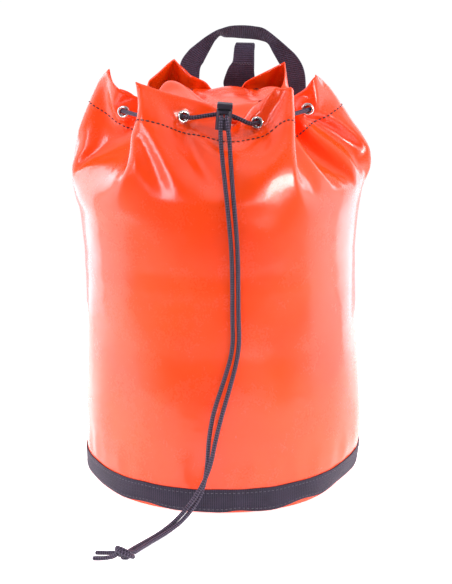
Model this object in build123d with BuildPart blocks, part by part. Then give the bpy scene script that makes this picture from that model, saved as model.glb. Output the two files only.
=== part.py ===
from build123d import *
import os
from math import atan2, cos, degrees, hypot, pi, radians, sin, sqrt, tan

os.makedirs("parts", exist_ok=True)

# Rope storage bag. Millimetres, +Z up, origin on the floor on the axis of the
# round body, front of the bag towards -Y. Coated-fabric drawstring cylinder with
# a gathered mouth, webbing base band, cord lock, storm flap, grab handle, hang
# loop and two shoulder straps on the back.

# ---------------------------------------------------------------- dimensions
FABRIC_T = 1.2        # coated fabric
WEB_T = 1.8           # webbing thickness
BAND_W = 25.0         # base webbing
HANDLE_W = 20.0       # grab handle webbing
LOOP_W = 22.0         # hang loop webbing
STRAP_W = 25.0        # shoulder strap webbing
CORD_R = 2.3          # drawcord radius
BODY_R = 151.2        # wall radius under the base band
NECK_Z0 = 322.0       # top of the round part of the wall
NECK_Z1 = 392.0       # full gather from here up
RIM_TOP = 447.0
EYE_HOLE_R = 3.7      # eyelet bore
EYE_OUT_R = 6.6       # eyelet flange
EYE_WALL_R = 4.2      # hole in the fabric
LOCK_C = (1.0, -108.0, 411.0)   # cord hole of the cord lock
LOCK_TILT = 5.0
PLUNGER_TRAVEL = 1.8

# body profile (radius, height)
PROFILE = [(151.2, 2.0), (151.2, 30.0), (152.0, 72.0), (149.0, 118.0), (146.2, 163.0),
           (146.2, 250.0), (149.6, 290.0), (153.5, 316.0), (153.5, NECK_Z0)]

# gathered mouth at eyelet height: corners in plan, going round anticlockwise from
# the front valley; each has the angle it comes from on the round body
CORNERS = [
    (-90, (-2, -78), "v"), (-60, (73, -100), "r"), (-30, (51, -34), "v"), (0, (127, -38), "r"),
    (30, (75, 16), "v"), (60, (70, 88), "r"), (90, (0, 58), "v"), (120, (-72, 83), "r"),
    (150, (-98, 10), "v"), (180, (-152, -22), "r"), (210, (-66, -43), "v"), (240, (-90, -103), "r"),
]
# where each eyelet sits on the panel that follows its corner, and its height
EYELETS = [(0.49, 400.6), (0.50, 403.5), (0.487, 405.7), (0.55, 404.0), (0.40, 404.0),
           (0.50, 404.5), (0.50, 404.5), (0.50, 404.0), (0.35, 403.0), (0.56, 402.6),
           (0.50, 404.5), (0.57, 407.0)]


# the ridges lean in above the eyelets: corners at RIM_TOP
RIM_CORNERS = [(0, -77), (63, -93), (49, -33), (97, -24), (72, 15), (67, 81),
               (0, 57), (-55, 80), (-94, 10), (-121, -16), (-64, -42), (-87, -96)]
LEAN_Z = 414.5


def lerp(a, b, t):
    return tuple(p + (q - p) * t for p, q in zip(a, b))


def panel_point(i, f):
    return lerp(CORNERS[i][1], CORNERS[(i + 1) % 12][1], f)


# ---------------------------------------------------------------- neck sections
def star_points(corners):
    """72 points: each corner is rounded with five, each panel has one more."""
    pts = []
    for i in range(12):
        c = corners[i]
        p = corners[i - 1]
        n = corners[(i + 1) % 12]
        dp, dn = hypot(p[0] - c[0], p[1] - c[1]), hypot(n[0] - c[0], n[1] - c[1])
        cut = 15.0
        a, b = lerp(c, p, cut / dp), lerp(c, n, cut / dn)
        for t in (0, 0.25, 0.5, 0.75, 1.0):
            pts.append(tuple((1 - t) ** 2 * a[k] + 2 * t * (1 - t) * c[k] + t * t * b[k] for k in (0, 1)))
        m = lerp(c, n, 0.5)
        pts.append(m)
    return pts


def round_points(r):
    """72 points on a circle, in step with star_points."""
    pts = []
    for i in range(12):
        a0 = CORNERS[i][0]
        for d in (-5.0, -2.6, 0.0, 2.6, 5.0, 15.0):
            t = radians(a0 + d)
            pts.append((r * cos(t), r * sin(t)))
    return pts


def inset(pts, d):
    """Polygon moved inwards by d with mitred corners (points run anticlockwise)."""
    out = []
    n = len(pts)
    for i in range(n):
        p, c, q = pts[i - 1], pts[i], pts[(i + 1) % n]
        e1 = (c[0] - p[0], c[1] - p[1])
        e2 = (q[0] - c[0], q[1] - c[1])
        l1, l2 = hypot(*e1), hypot(*e2)
        n1, n2 = (-e1[1] / l1, e1[0] / l1), (-e2[1] / l2, e2[0] / l2)
        k = 1.0 + n1[0] * n2[0] + n1[1] * n2[1]
        out.append((c[0] + d * (n1[0] + n2[0]) / k, c[1] + d * (n1[1] + n2[1]) / k))
    return out


STAR = star_points([c[1] for c in CORNERS])
RIM_STAR = star_points(RIM_CORNERS)


def section(z):
    """Outer outline of the wall at height z, from round at NECK_Z0 to the star."""
    t = (z - NECK_Z0) / (NECK_Z1 - NECK_Z0)
    s = t * t * (3 - 2 * t) * 0.35 + t * 0.65
    ring = round_points(153.42)
    return [lerp(a, b, s) for a, b in zip(ring, STAR)]


LEVELS = [NECK_Z0, 340.0, 357.0, 375.0, NECK_Z1]

# ---------------------------------------------------------------- bag wall
EYE_PLANES = []
for i, (f, z) in enumerate(EYELETS):
    a, b = CORNERS[i][1], CORNERS[(i + 1) % 12][1]
    L = hypot(b[0] - a[0], b[1] - a[1])
    out = ((b[1] - a[1]) / L, -(b[0] - a[0]) / L, 0.0)
    x, y = panel_point(i, f)
    EYE_PLANES.append(Plane(origin=(x, y, z), x_dir=(0, 0, 1), z_dir=out))

with BuildPart() as bag_wall:
    # round body
    with BuildSketch(Plane.XZ):
        with BuildLine():
            Polyline(*PROFILE, *[(r - FABRIC_T, z) for r, z in reversed(PROFILE)], close=True)
        make_face()
    revolve(axis=Axis.Z)
    # gathered neck, one band of fabric after another
    for z0, z1 in zip(LEVELS, LEVELS[1:]):
        for inner in (False, True):
            for z in (z0, z1):
                pts = section(z)
                if inner:
                    pts = inset(pts, FABRIC_T - (0.1 if z == NECK_Z0 else 0.0))
                with BuildSketch(Plane.XY.offset(z)):
                    with BuildLine():
                        Polyline(*pts, close=True)
                    make_face()
            loft(ruled=True, mode=Mode.SUBTRACT if inner else Mode.ADD)
    # upright mouth
    with BuildSketch(Plane.XY.offset(NECK_Z1)):
        with BuildLine():
            Polyline(*STAR, close=True)
        make_face()
        with BuildLine():
            Polyline(*inset(STAR, FABRIC_T), close=True)
        make_face(mode=Mode.SUBTRACT)
    extrude(amount=LEAN_Z - NECK_Z1)
    for inner in (False, True):
        for z, star in ((LEAN_Z, STAR), (RIM_TOP, RIM_STAR)):
            with BuildSketch(Plane.XY.offset(z)):
                with BuildLine():
                    Polyline(*(inset(star, FABRIC_T) if inner else star), close=True)
                make_face()
        loft(ruled=True, mode=Mode.SUBTRACT if inner else Mode.ADD)
    # rim: low in the valleys, high on the ridges
    with BuildSketch(Plane(origin=(-5, -5, 0), x_dir=(1, 0, 0), z_dir=(0, -1, 0))):
        with BuildLine():
            Polyline((30, 392), (73, 404), (84, 419), (95, 428), (105, 436), (125, 443),
                     (200, 448), (200, 480), (30, 480), close=True)
        make_face()
    revolve(axis=Axis((-5, -5, 0), (0, 0, 1)), mode=Mode.SUBTRACT)
    with Locations(*EYE_PLANES):
        Cylinder(radius=EYE_WALL_R, height=12, mode=Mode.SUBTRACT)
bag_wall.part.label = "bag_wall"

# ---------------------------------------------------------------- base
with BuildPart() as base_panel:
    with BuildSketch(Plane.XZ):
        with BuildLine():
            r = BODY_R - FABRIC_T
            l1 = Line((0, 0), (r - 11, 0))
            l2 = ThreePointArc((r - 11, 0), (r - 11 * (1 - cos(pi / 4)), 11 * (1 - sin(pi / 4))), (r, 11))
            l3 = Line((r, 11), (r, 26))
            l4 = Line((r, 26), (r - FABRIC_T, 26))
            l5 = Line((r - FABRIC_T, 26), (r - FABRIC_T, 11))
            q = 11 - FABRIC_T
            l6 = ThreePointArc((r - FABRIC_T, 11), (r - 11 + q * cos(pi / 4), 11 - q * sin(pi / 4)),
                               (r - 11, FABRIC_T))
            l7 = Line((r - 11, FABRIC_T), (0, FABRIC_T))
            l8 = Line((0, FABRIC_T), (0, 0))
        make_face()
    revolve(axis=Axis.Z)
base_panel.part.label = "base_panel"

with BuildPart() as base_band:
    with BuildSketch(Plane.XY.offset(2.0)):
        Circle(BODY_R + 1.5)
        Circle(BODY_R, mode=Mode.SUBTRACT)
    extrude(amount=BAND_W)
base_band.part.label = "base_band"

# ---------------------------------------------------------------- eyelets
with BuildPart() as grommet:
    with BuildSketch(Plane.XZ):
        with BuildLine():
            Polyline((EYE_HOLE_R, 0.45), (EYE_HOLE_R, -2.3), (EYE_WALL_R, -2.3), (EYE_WALL_R, 0.0),
                     (EYE_OUT_R, 0.0), (EYE_OUT_R, 0.35))
            ThreePointArc((EYE_OUT_R, 0.35), ((EYE_OUT_R + EYE_HOLE_R) / 2, 1.25), (EYE_HOLE_R, 0.45))
        make_face()
    revolve(axis=Axis.Z)

with BuildPart() as washer:
    with BuildSketch(Plane.XY.offset(-FABRIC_T - 0.6)):
        Circle(EYE_OUT_R - 0.4)
        Circle(EYE_WALL_R, mode=Mode.SUBTRACT)
    extrude(amount=0.6)

with BuildPart() as eyelets:
    with Locations(*EYE_PLANES):
        add(grommet.part)
eyelets.part.label = "eyelets"

with BuildPart() as eyelet_washers:
    with Locations(*EYE_PLANES):
        add(washer.part)
eyelet_washers.part.label = "eyelet_washers"


# ---------------------------------------------------------------- cords
def corner_radii(pts, name):
    """Radius of the arc at each corner: 0.45 of the shorter run over tan(half turn)."""
    radii = []
    for a, b, c in zip(pts, pts[1:], pts[2:]):
        u, v = Vector(*b) - Vector(*a), Vector(*c) - Vector(*b)
        turn = u.get_angle(v)
        radii.append(0.45 * min(u.length, v.length) / tan(radians(turn) / 2))
    runs = [(Vector(*b) - Vector(*a)).length for a, b in zip(pts, pts[1:])]
    print(name, "runs", [round(x, 1) for x in runs], "radii", [round(x, 1) for x in radii])
    return radii


def tube_check(name, part, length):
    want = pi * CORD_R ** 2 * length
    print(f"{name}: path {length:.1f} mm, volume {part.volume:.0f}, section x length {want:.0f}")


EYES = [(*panel_point(i, f), z) for i, (f, z) in enumerate(EYELETS)]   # eyelet k is EYES[k - 1]


def ring_route():
    """Route round the mouth: straight through each eyelet, curving between them."""
    names = list(range(0, 12))            # eyelets 1..12 as EYES[0..11]
    dirs = []
    for k in names:
        p, q = EYES[k - 1], EYES[(k + 1) % 12]
        L = hypot(q[0] - p[0], q[1] - p[1])
        dirs.append(((q[0] - p[0]) / L, (q[1] - p[1]) / L))
    # the two front eyelets turn the cord out towards the cord lock
    dirs[0] = (cos(radians(52)), sin(radians(52)))
    dirs[11] = (cos(radians(-50)), sin(radians(-50)))
    mids = []
    for k in range(11):
        a, b = EYES[k], EYES[k + 1]
        da, db = dirs[k], dirs[k + 1]
        if k in (0, 10):      # the cord swings back inside the ridge between these two
            mids.append((a[0] + da[0] * 9, a[1] + da[1] * 9, a[2] * 0.7 + b[2] * 0.3))
            mids.append((b[0] - db[0] * 9, b[1] - db[1] * 9, a[2] * 0.3 + b[2] * 0.7))
            continue
        det = da[0] * -db[1] + db[0] * da[1]
        s = ((b[0] - a[0]) * -db[1] + db[0] * (b[1] - a[1])) / det
        mids.append((a[0] + da[0] * s, a[1] + da[1] * s, (a[2] + b[2]) / 2))
    first = (EYES[0][0] - dirs[0][0] * 5, EYES[0][1] - dirs[0][1] * 5, EYES[0][2])
    last = (EYES[11][0] + dirs[11][0] * 5, EYES[11][1] + dirs[11][1] * 5, EYES[11][2])
    mids[0] = (mids[0][0], mids[0][1], EYES[0][2])
    mids[-1] = (mids[-1][0], mids[-1][1], EYES[11][2])
    turn_r = (EYES[0][0] - dirs[0][0] * 12, EYES[0][1] - dirs[0][1] * 12, EYES[0][2])
    turn_l = (EYES[11][0] + dirs[11][0] * 12, EYES[11][1] + dirs[11][1] * 12, EYES[11][2])
    return [first] + mids + [last], turn_l, turn_r


RING, TURN_L, TURN_R = ring_route()
print("ring route", [tuple(round(c, 1) for c in p) for p in RING])

# leads from the front eyelets into the back of the cord lock and out of its front
hole_l, hole_r = LOCK_C[0] - 2.45, LOCK_C[0] + 2.45
LEAD_L = [RING[-1], TURN_L, (-16.0, -97.4, 409.6), (hole_l + 0.3, -94.8, 411.0), (hole_l, -105.5, 411.0), (hole_l - 0.02, -115.2, 411.0)]
LEAD_R = [RING[0], TURN_R, (15.5, -97.6, 406.9), (hole_r - 0.3, -94.8, 411.0), (hole_r, -105.5, 411.0), (hole_r + 0.02, -115.2, 411.0)]

TAIL_L = [(hole_l - 0.02, -115.2, 411.0), (hole_l - 0.04, -120.8, 410.9), (-2.2, -124.2, 404.6), (-2.5, -125.4, 393.0),
          (-1.0, -129.6, 374.0), (2.4, -149.0, 347.0), (5.6, -161.8, 318.0), (8.4, -157.6, 285.0), (9.4, -153.8, 251.0),
          (9.3, -152.4, 215.0), (10.5, -152.8, 180.0), (0.6, -152.9, 145.0), (-10.5, -156.8, 112.0), (-15.0, -158.5, 82.0),
          (-16.5, -162.0, 53.0), (-21.0, -170.0, 29.0), (-33.0, -186.0, 10.0), (-52.0, -211.0, 2.7),
          (-73.0, -241.0, 2.9), (-87.0, -264.0, 5.2)]
TAIL_R = [(hole_r + 0.02, -115.2, 411.0), (hole_r + 0.04, -120.9, 410.9), (4.4, -124.3, 404.4), (6.2, -125.6, 392.4),
          (7.4, -130.2, 373.0), (9.5, -150.0, 345.0), (12.3, -161.4, 316.0), (14.6, -157.2, 283.0), (15.2, -153.8, 249.0),
          (15.5, -152.5, 215.0), (16.8, -152.9, 181.0), (9.0, -153.2, 146.0), (-0.5, -157.5, 114.0), (-8.0, -161.5, 84.0),
          (-13.5, -168.5, 56.0), (-27.0, -178.5, 31.0), (-45.0, -188.0, 11.0), (-62.0, -206.0, 2.7),
          (-80.0, -234.0, 2.9), (-92.5, -258.0, 5.2)]


with BuildPart() as drawcord_ring:
    with BuildLine() as ring_path:
        FilletPolyline(*RING, radius=corner_radii(RING, "ring"))
    with BuildSketch(Plane(origin=ring_path.wires()[0] @ 0, z_dir=ring_path.wires()[0] % 0)):
        Circle(CORD_R)
    sweep()
drawcord_ring.part.label = "drawcord_ring"
tube_check("drawcord_ring", drawcord_ring.part, ring_path.wires()[0].length)

with BuildPart() as drawcord_lead_left:
    with BuildLine() as lead_l_path:
        FilletPolyline(*LEAD_L, radius=corner_radii(LEAD_L, "lead left"))
    with BuildSketch(Plane(origin=lead_l_path.wires()[0] @ 0, z_dir=lead_l_path.wires()[0] % 0)):
        Circle(CORD_R)
    sweep()
drawcord_lead_left.part.label = "drawcord_lead_left"
tube_check("drawcord_lead_left", drawcord_lead_left.part, lead_l_path.wires()[0].length)

with BuildPart() as drawcord_lead_right:
    with BuildLine() as lead_r_path:
        FilletPolyline(*LEAD_R, radius=corner_radii(LEAD_R, "lead right"))
    with BuildSketch(Plane(origin=lead_r_path.wires()[0] @ 0, z_dir=lead_r_path.wires()[0] % 0)):
        Circle(CORD_R)
    sweep()
drawcord_lead_right.part.label = "drawcord_lead_right"
tube_check("drawcord_lead_right", drawcord_lead_right.part, lead_r_path.wires()[0].length)

with BuildPart() as drawcord_tail_left:
    with BuildLine() as tail_l_path:
        FilletPolyline(*TAIL_L, radius=corner_radii(TAIL_L, "tail left"))
    with BuildSketch(Plane(origin=tail_l_path.wires()[0] @ 0, z_dir=tail_l_path.wires()[0] % 0)):
        Circle(CORD_R)
    sweep()
drawcord_tail_left.part.label = "drawcord_tail_left"
tube_check("drawcord_tail_left", drawcord_tail_left.part, tail_l_path.wires()[0].length)

with BuildPart() as drawcord_tail_right:
    with BuildLine() as tail_r_path:
        FilletPolyline(*TAIL_R, radius=corner_radii(TAIL_R, "tail right"))
    with BuildSketch(Plane(origin=tail_r_path.wires()[0] @ 0, z_dir=tail_r_path.wires()[0] % 0)):
        Circle(CORD_R)
    sweep()
drawcord_tail_right.part.label = "drawcord_tail_right"
tube_check("drawcord_tail_right", drawcord_tail_right.part, tail_r_path.wires()[0].length)

# overhand knot that joins both tails, and the two cut ends beyond it
KNOT_C = (-96.0, -272.5, 8.6)
with BuildPart() as drawcord_knot:
    with BuildSketch(Plane(origin=KNOT_C, x_dir=(-0.5, -0.866, 0), z_dir=(0, 0, 1))):
        Ellipse(11.0, 8.6)
        with Locations((0, 0)):
            Rectangle(30, 30, align=(Align.CENTER, Align.MAX), mode=Mode.SUBTRACT)
    revolve(axis=Axis(KNOT_C, (-0.5, -0.866, 0)))
drawcord_knot.part.label = "drawcord_knot"

with BuildPart() as drawcord_ends:
    for start, end in (((-101.5, -279.5, 6.0), (-124.0, -279.0, 2.8)), ((-104.0, -274.2, 6.2), (-126.0, -269.0, 2.8))):
        d = Vector(*end) - Vector(*start)
        with BuildSketch(Plane(origin=start, z_dir=d)):
            Circle(CORD_R)
        extrude(amount=d.length)
drawcord_ends.part.label = "drawcord_ends"

# ---------------------------------------------------------------- cord lock
t = radians(LOCK_TILT)
LOCK = Plane(origin=LOCK_C, x_dir=(cos(t), 0, -sin(t)), z_dir=(sin(t), 0, cos(t)))
CAP_GAP = 2.0
with BuildPart(LOCK) as cord_lock_barrel:
    with Locations((0, 0, -3.7)):
        Box(16, 14, 19.8)
    fillet(cord_lock_barrel.edges().filter_by(Axis((0, 0, 0), (sin(t), 0, cos(t)))), radius=4.0)
    with Locations((0, 0, -11.5)):
        Box(12.6, 8.4, 30, align=(Align.CENTER, Align.CENTER, Align.MIN), mode=Mode.SUBTRACT)
    with Locations((0, 0, 0)):
        Box(10.2, 30, 5.4, mode=Mode.SUBTRACT)
cord_lock_barrel.part.label = "cord_lock_barrel"

with BuildPart(LOCK) as cord_lock_plunger:
    with Locations((0, 0, -6.0)):
        Box(12.4, 8.2, 14.2 + 1.0, align=(Align.CENTER, Align.CENTER, Align.MIN))
    with Locations((0, 0, 6.2 + CAP_GAP)):
        Box(15.6, 13.4, 5.0, align=(Align.CENTER, Align.CENTER, Align.MIN))
    with Locations((0, 0, 1.05)):
        Box(10.2, 30, 7.7, mode=Mode.SUBTRACT)
    fillet(cord_lock_plunger.faces().sort_by(Axis((0, 0, 0), (sin(t), 0, cos(t))))[-1].edges(), radius=1.4)
cord_lock_plunger.part.label = "cord_lock_plunger"

with BuildPart() as cord_lock_spring:
    base = LOCK.from_local_coords(Vector(0, 0, -11.1))
    coil = Helix(pitch=1.7, height=4.6, radius=2.9, center=base, direction=(sin(t), 0, cos(t)))
    with BuildLine() as spring_path:
        add(coil)
    with BuildSketch(Plane(origin=coil @ 0, z_dir=coil % 0)):
        Circle(0.35)
    sweep(is_frenet=True)
cord_lock_spring.part.label = "cord_lock_spring"

# ---------------------------------------------------------------- storm flap
FLAP_Z = 411.0
FLAP_Y = 50.0          # hinge line
with BuildPart() as storm_flap:
    with BuildSketch(Plane.XY.offset(FLAP_Z)):
        with BuildLine():
            Polyline((-26, FLAP_Y), (-52, 34), (-72, 6), (-60, -18), (-47, -42), (-36, -66), (0, -68), (30, -70),
                     (36, -44), (40, -22), (56, -12), (66, 12), (54, 36), (26, FLAP_Y), close=True)
        make_face()
    extrude(amount=FABRIC_T)
storm_flap.part.label = "storm_flap"

# sewn edge of the flap, on the inside of the back valley
with BuildPart() as flap_seam:
    outer, inner_ = inset(STAR, FABRIC_T), inset(STAR, FABRIC_T * 2)
    k0, k1 = 6 * 6 - 1, 6 * 6 + 6
    strip = [outer[k] for k in range(k0, k1)] + [inner_[k] for k in reversed(range(k0, k1))]
    with BuildSketch(Plane.XY.offset(400.0)):
        with BuildLine():
            Polyline(*strip, close=True)
        make_face()
    extrude(amount=13.0)
    with Locations(EYE_PLANES[5], EYE_PLANES[6]):
        Cylinder(radius=EYE_OUT_R + 0.6, height=14, mode=Mode.SUBTRACT)
flap_seam.part.label = "flap_seam"

# ---------------------------------------------------------------- grab handle
AX = Vector(0.9867, -0.1624, 0).normalized()       # along the two sewn ends
H0 = Vector(23.7, 145.6, 323.0)                    # middle of the swing axis
H_TOP = Vector(24.0, 119.0, 475.0)
UP = (H_TOP - H0).normalized()
HN = AX.cross(UP)
HPLANE = Plane(origin=H0, x_dir=AX, z_dir=HN)
with BuildPart() as grab_handle:
    with BuildSketch(HPLANE.offset(-WEB_T / 2)):
        with BuildLine():
            Line((-70, 1.4), (-70, 106))
            ThreePointArc((-70, 106), (0, 153), (70, 106))
            Line((70, 106), (70, 1.4))
            Line((70, 1.4), (50, 1.4))
            Line((50, 1.4), (50, 100))
            ThreePointArc((50, 100), (0, 133), (-50, 100))
            Line((-50, 100), (-50, 1.4))
            Line((-50, 1.4), (-70, 1.4))
        make_face()
    extrude(amount=WEB_T)
grab_handle.part.label = "grab_handle"

with BuildPart() as handle_ends:
    with BuildSketch(Plane.XY.offset(286.0)):
        Circle(153.5 + WEB_T)
        Circle(140, mode=Mode.SUBTRACT)
    extrude(amount=36.0)
    with BuildSketch(Plane.XZ, mode=Mode.PRIVATE) as body_outline:
        with BuildLine():
            Polyline(*PROFILE, (0, NECK_Z0), (0, 2), close=True)
        make_face()
    revolve(body_outline.sketch, axis=Axis.Z, mode=Mode.SUBTRACT)
    ends_cut = [Plane(origin=H0 + AX * s, x_dir=AX, z_dir=(0, 0, 1)).location * Box(HANDLE_W, 70, 120, mode=Mode.PRIVATE)
                for s in (-60, 60)]
    add(ends_cut, mode=Mode.INTERSECT)
handle_ends.part.label = "handle_ends"

# ---------------------------------------------------------------- hang loop and yoke
BN = AX.cross(Vector(0, 0, 1)) * -1                 # outwards at the back
BACK = Vector(22.0, 95.0, 0.0)
with BuildPart() as back_yoke:
    # doubled webbing standing up from the seam on the sloping back of the neck
    with BuildSketch(Plane(origin=BACK, x_dir=AX, z_dir=(0, 0, 1)).offset(377.0)):
        Rectangle(44, WEB_T * 2)
    extrude(amount=27.2)
back_yoke.part.label = "back_yoke"

with BuildPart() as hang_loop:
    lp = Plane(origin=BACK, x_dir=BN, z_dir=AX)
    with BuildSketch(lp.offset(-LOOP_W / 2)):
        with BuildLine():
            l1 = Line((-WEB_T, 406.6), (-WEB_T, 416))
            l2 = Spline((-WEB_T, 416), (-8.0, 438), (0, 457), (8.0, 438), (WEB_T, 416))
            l3 = Line((WEB_T, 416), (WEB_T, 406.6))
            l4 = Line((WEB_T, 406.6), (-WEB_T, 406.6))
        make_face()
        with BuildLine():
            Spline((0, 417), (-8.0 + WEB_T, 438), (0, 457 - WEB_T), (8.0 - WEB_T, 438), (0, 417))
        make_face(mode=Mode.SUBTRACT)
    extrude(amount=LOOP_W)
hang_loop.part.label = "hang_loop"


# ---------------------------------------------------------------- shoulder straps
def on_back(angle, r, z):
    a = radians(81.0 + angle)
    return Vector(r * cos(a), r * sin(a), z)


strap_parts = {}
for side, sgn in (("left", 1), ("right", -1)):
    top = BACK + AX * (-11.5 * sgn) + BN * 6.2 + Vector(0, 0, 398)
    low = on_back(34 * sgn, 158.0, 50)
    down = (low - top).normalized()
    L = (low - top).length
    mid = (top + low) * 0.5
    outward = BN
    outward = (outward - down * outward.dot(down)).normalized()
    across = down.cross(outward)
    sp = Plane(origin=top, x_dir=down, z_dir=across)
    v = outward.dot(sp.y_dir)
    route = [(3.0, 1.5), (0.10 * L, 24), (0.26 * L, 50), (0.50 * L, 62), (0.70 * L, 52)]
    route = [(a, b * v) for a, b in route]
    with BuildPart() as strap:
        with BuildLine(sp) as strap_line:
            Spline(*route)
        with BuildSketch(Plane(origin=strap_line.edges()[0] @ 0, x_dir=across, z_dir=strap_line.edges()[0] % 0)):
            Rectangle(STRAP_W - 4, WEB_T)
        sweep()
    strap.part.label = "shoulder_strap_" + side
    strap_parts["shoulder_strap_" + side] = strap.part
    # ladder-lock adjuster: frame with three bars at the end of the strap
    e = strap_line.edges()[0]
    at, along = e @ 1, e % 1
    lock_plane = Plane(origin=at + along * 14.5, x_dir=across, z_dir=across.cross(along))
    with BuildPart(lock_plane) as adjuster:
        Box(STRAP_W + 6, 28, 4)
        with Locations((0, -8, 0), (0, 0.5, 0), (0, 8.5, 0)):
            Box(STRAP_W - 2, 4.6, 20, mode=Mode.SUBTRACT)
        fillet(adjuster.edges().filter_by(lambda ed: abs(abs((ed % 0.5).dot(lock_plane.z_dir)) - 1) < 1e-6 and ed.length > 3)
               .sort_by_distance(at + along * 14.5)[-4:], radius=3)
    adjuster.part.label = "strap_adjuster_" + side
    strap_parts["strap_adjuster_" + side] = adjuster.part
    # lower web from the adjuster down to its anchor
    a0 = lock_plane.origin + along * 14.4
    loc0 = sp.to_local_coords(a0)
    lroute = [(loc0.X, loc0.Y), (0.90 * L, 27 * v), (L - 3.0, 3.5 * v)]
    with BuildPart() as web:
        with BuildLine(sp) as web_line:
            Spline(*lroute)
        with BuildSketch(Plane(origin=web_line.edges()[0] @ 0, x_dir=across, z_dir=web_line.edges()[0] % 0)):
            Rectangle(STRAP_W - 5, WEB_T)
        sweep()
    web.part.label = "strap_web_" + side
    strap_parts["strap_web_" + side] = web.part
    print(side, "strap top", top, "low", low, "L", round(L, 1), "strap", round(e.length, 1), "web", round(web_line.edges()[0].length, 1),
          "axis", down)

# anchor tabs of the lower webs, sewn into the wall above the base band
with BuildPart() as strap_anchors:
    with BuildSketch(Plane.XY.offset(28.5)):
        Circle(BODY_R + 0.4 + WEB_T)
        Circle(BODY_R + 0.4, mode=Mode.SUBTRACT)
    extrude(amount=17.0)
    cuts = []
    for sgn in (1, -1):
        o = on_back(34 * sgn, 152, 37)
        n = Vector(o.X, o.Y, 0).normalized()
        cuts.append(Plane(origin=o, x_dir=Vector(0, 0, 1).cross(n), z_dir=(0, 0, 1)).location
                    * Box(STRAP_W, 20, 60, mode=Mode.PRIVATE))
    add(cuts, mode=Mode.INTERSECT)
strap_anchors.part.label = "strap_anchors"

# ---------------------------------------------------------------- export
export_step(bag_wall.part, "parts/bag_wall.step")
export_step(base_panel.part, "parts/base_panel.step")
export_step(base_band.part, "parts/base_band.step")
export_step(eyelets.part, "parts/eyelets.step")
export_step(eyelet_washers.part, "parts/eyelet_washers.step")
export_step(drawcord_ring.part, "parts/drawcord_ring.step")
export_step(drawcord_lead_left.part, "parts/drawcord_lead_left.step")
export_step(drawcord_lead_right.part, "parts/drawcord_lead_right.step")
export_step(drawcord_tail_left.part, "parts/drawcord_tail_left.step")
export_step(drawcord_tail_right.part, "parts/drawcord_tail_right.step")
export_step(drawcord_knot.part, "parts/drawcord_knot.step")
export_step(drawcord_ends.part, "parts/drawcord_ends.step")
export_step(cord_lock_barrel.part, "parts/cord_lock_barrel.step")
export_step(cord_lock_plunger.part, "parts/cord_lock_plunger.step")
export_step(cord_lock_spring.part, "parts/cord_lock_spring.step")
export_step(storm_flap.part, "parts/storm_flap.step")
export_step(flap_seam.part, "parts/flap_seam.step")
export_step(grab_handle.part, "parts/grab_handle.step")
export_step(handle_ends.part, "parts/handle_ends.step")
export_step(back_yoke.part, "parts/back_yoke.step")
export_step(hang_loop.part, "parts/hang_loop.step")
export_step(strap_anchors.part, "parts/strap_anchors.step")
for name, solid in strap_parts.items():
    export_step(solid, f"parts/{name}.step")
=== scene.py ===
# Rope storage bag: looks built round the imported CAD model. All work is in metres; tables are in millimetres.
import bpy
import math
import numpy as np
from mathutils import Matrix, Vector


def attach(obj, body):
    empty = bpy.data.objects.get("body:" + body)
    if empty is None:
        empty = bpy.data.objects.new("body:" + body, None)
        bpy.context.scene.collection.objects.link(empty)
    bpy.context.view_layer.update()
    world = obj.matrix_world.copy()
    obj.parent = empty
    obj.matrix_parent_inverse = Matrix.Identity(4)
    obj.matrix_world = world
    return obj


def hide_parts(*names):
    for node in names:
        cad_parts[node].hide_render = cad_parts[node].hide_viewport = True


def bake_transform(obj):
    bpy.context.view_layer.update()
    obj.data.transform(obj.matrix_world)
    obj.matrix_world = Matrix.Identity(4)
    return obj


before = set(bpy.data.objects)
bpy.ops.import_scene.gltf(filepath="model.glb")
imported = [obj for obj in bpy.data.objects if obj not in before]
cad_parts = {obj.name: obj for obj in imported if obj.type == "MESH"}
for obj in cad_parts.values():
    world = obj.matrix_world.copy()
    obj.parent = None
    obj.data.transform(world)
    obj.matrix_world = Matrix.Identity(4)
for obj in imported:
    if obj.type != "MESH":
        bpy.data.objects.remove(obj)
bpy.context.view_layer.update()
scene = bpy.context.scene
MM = 0.001
TAU = 2.0 * math.pi


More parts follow.
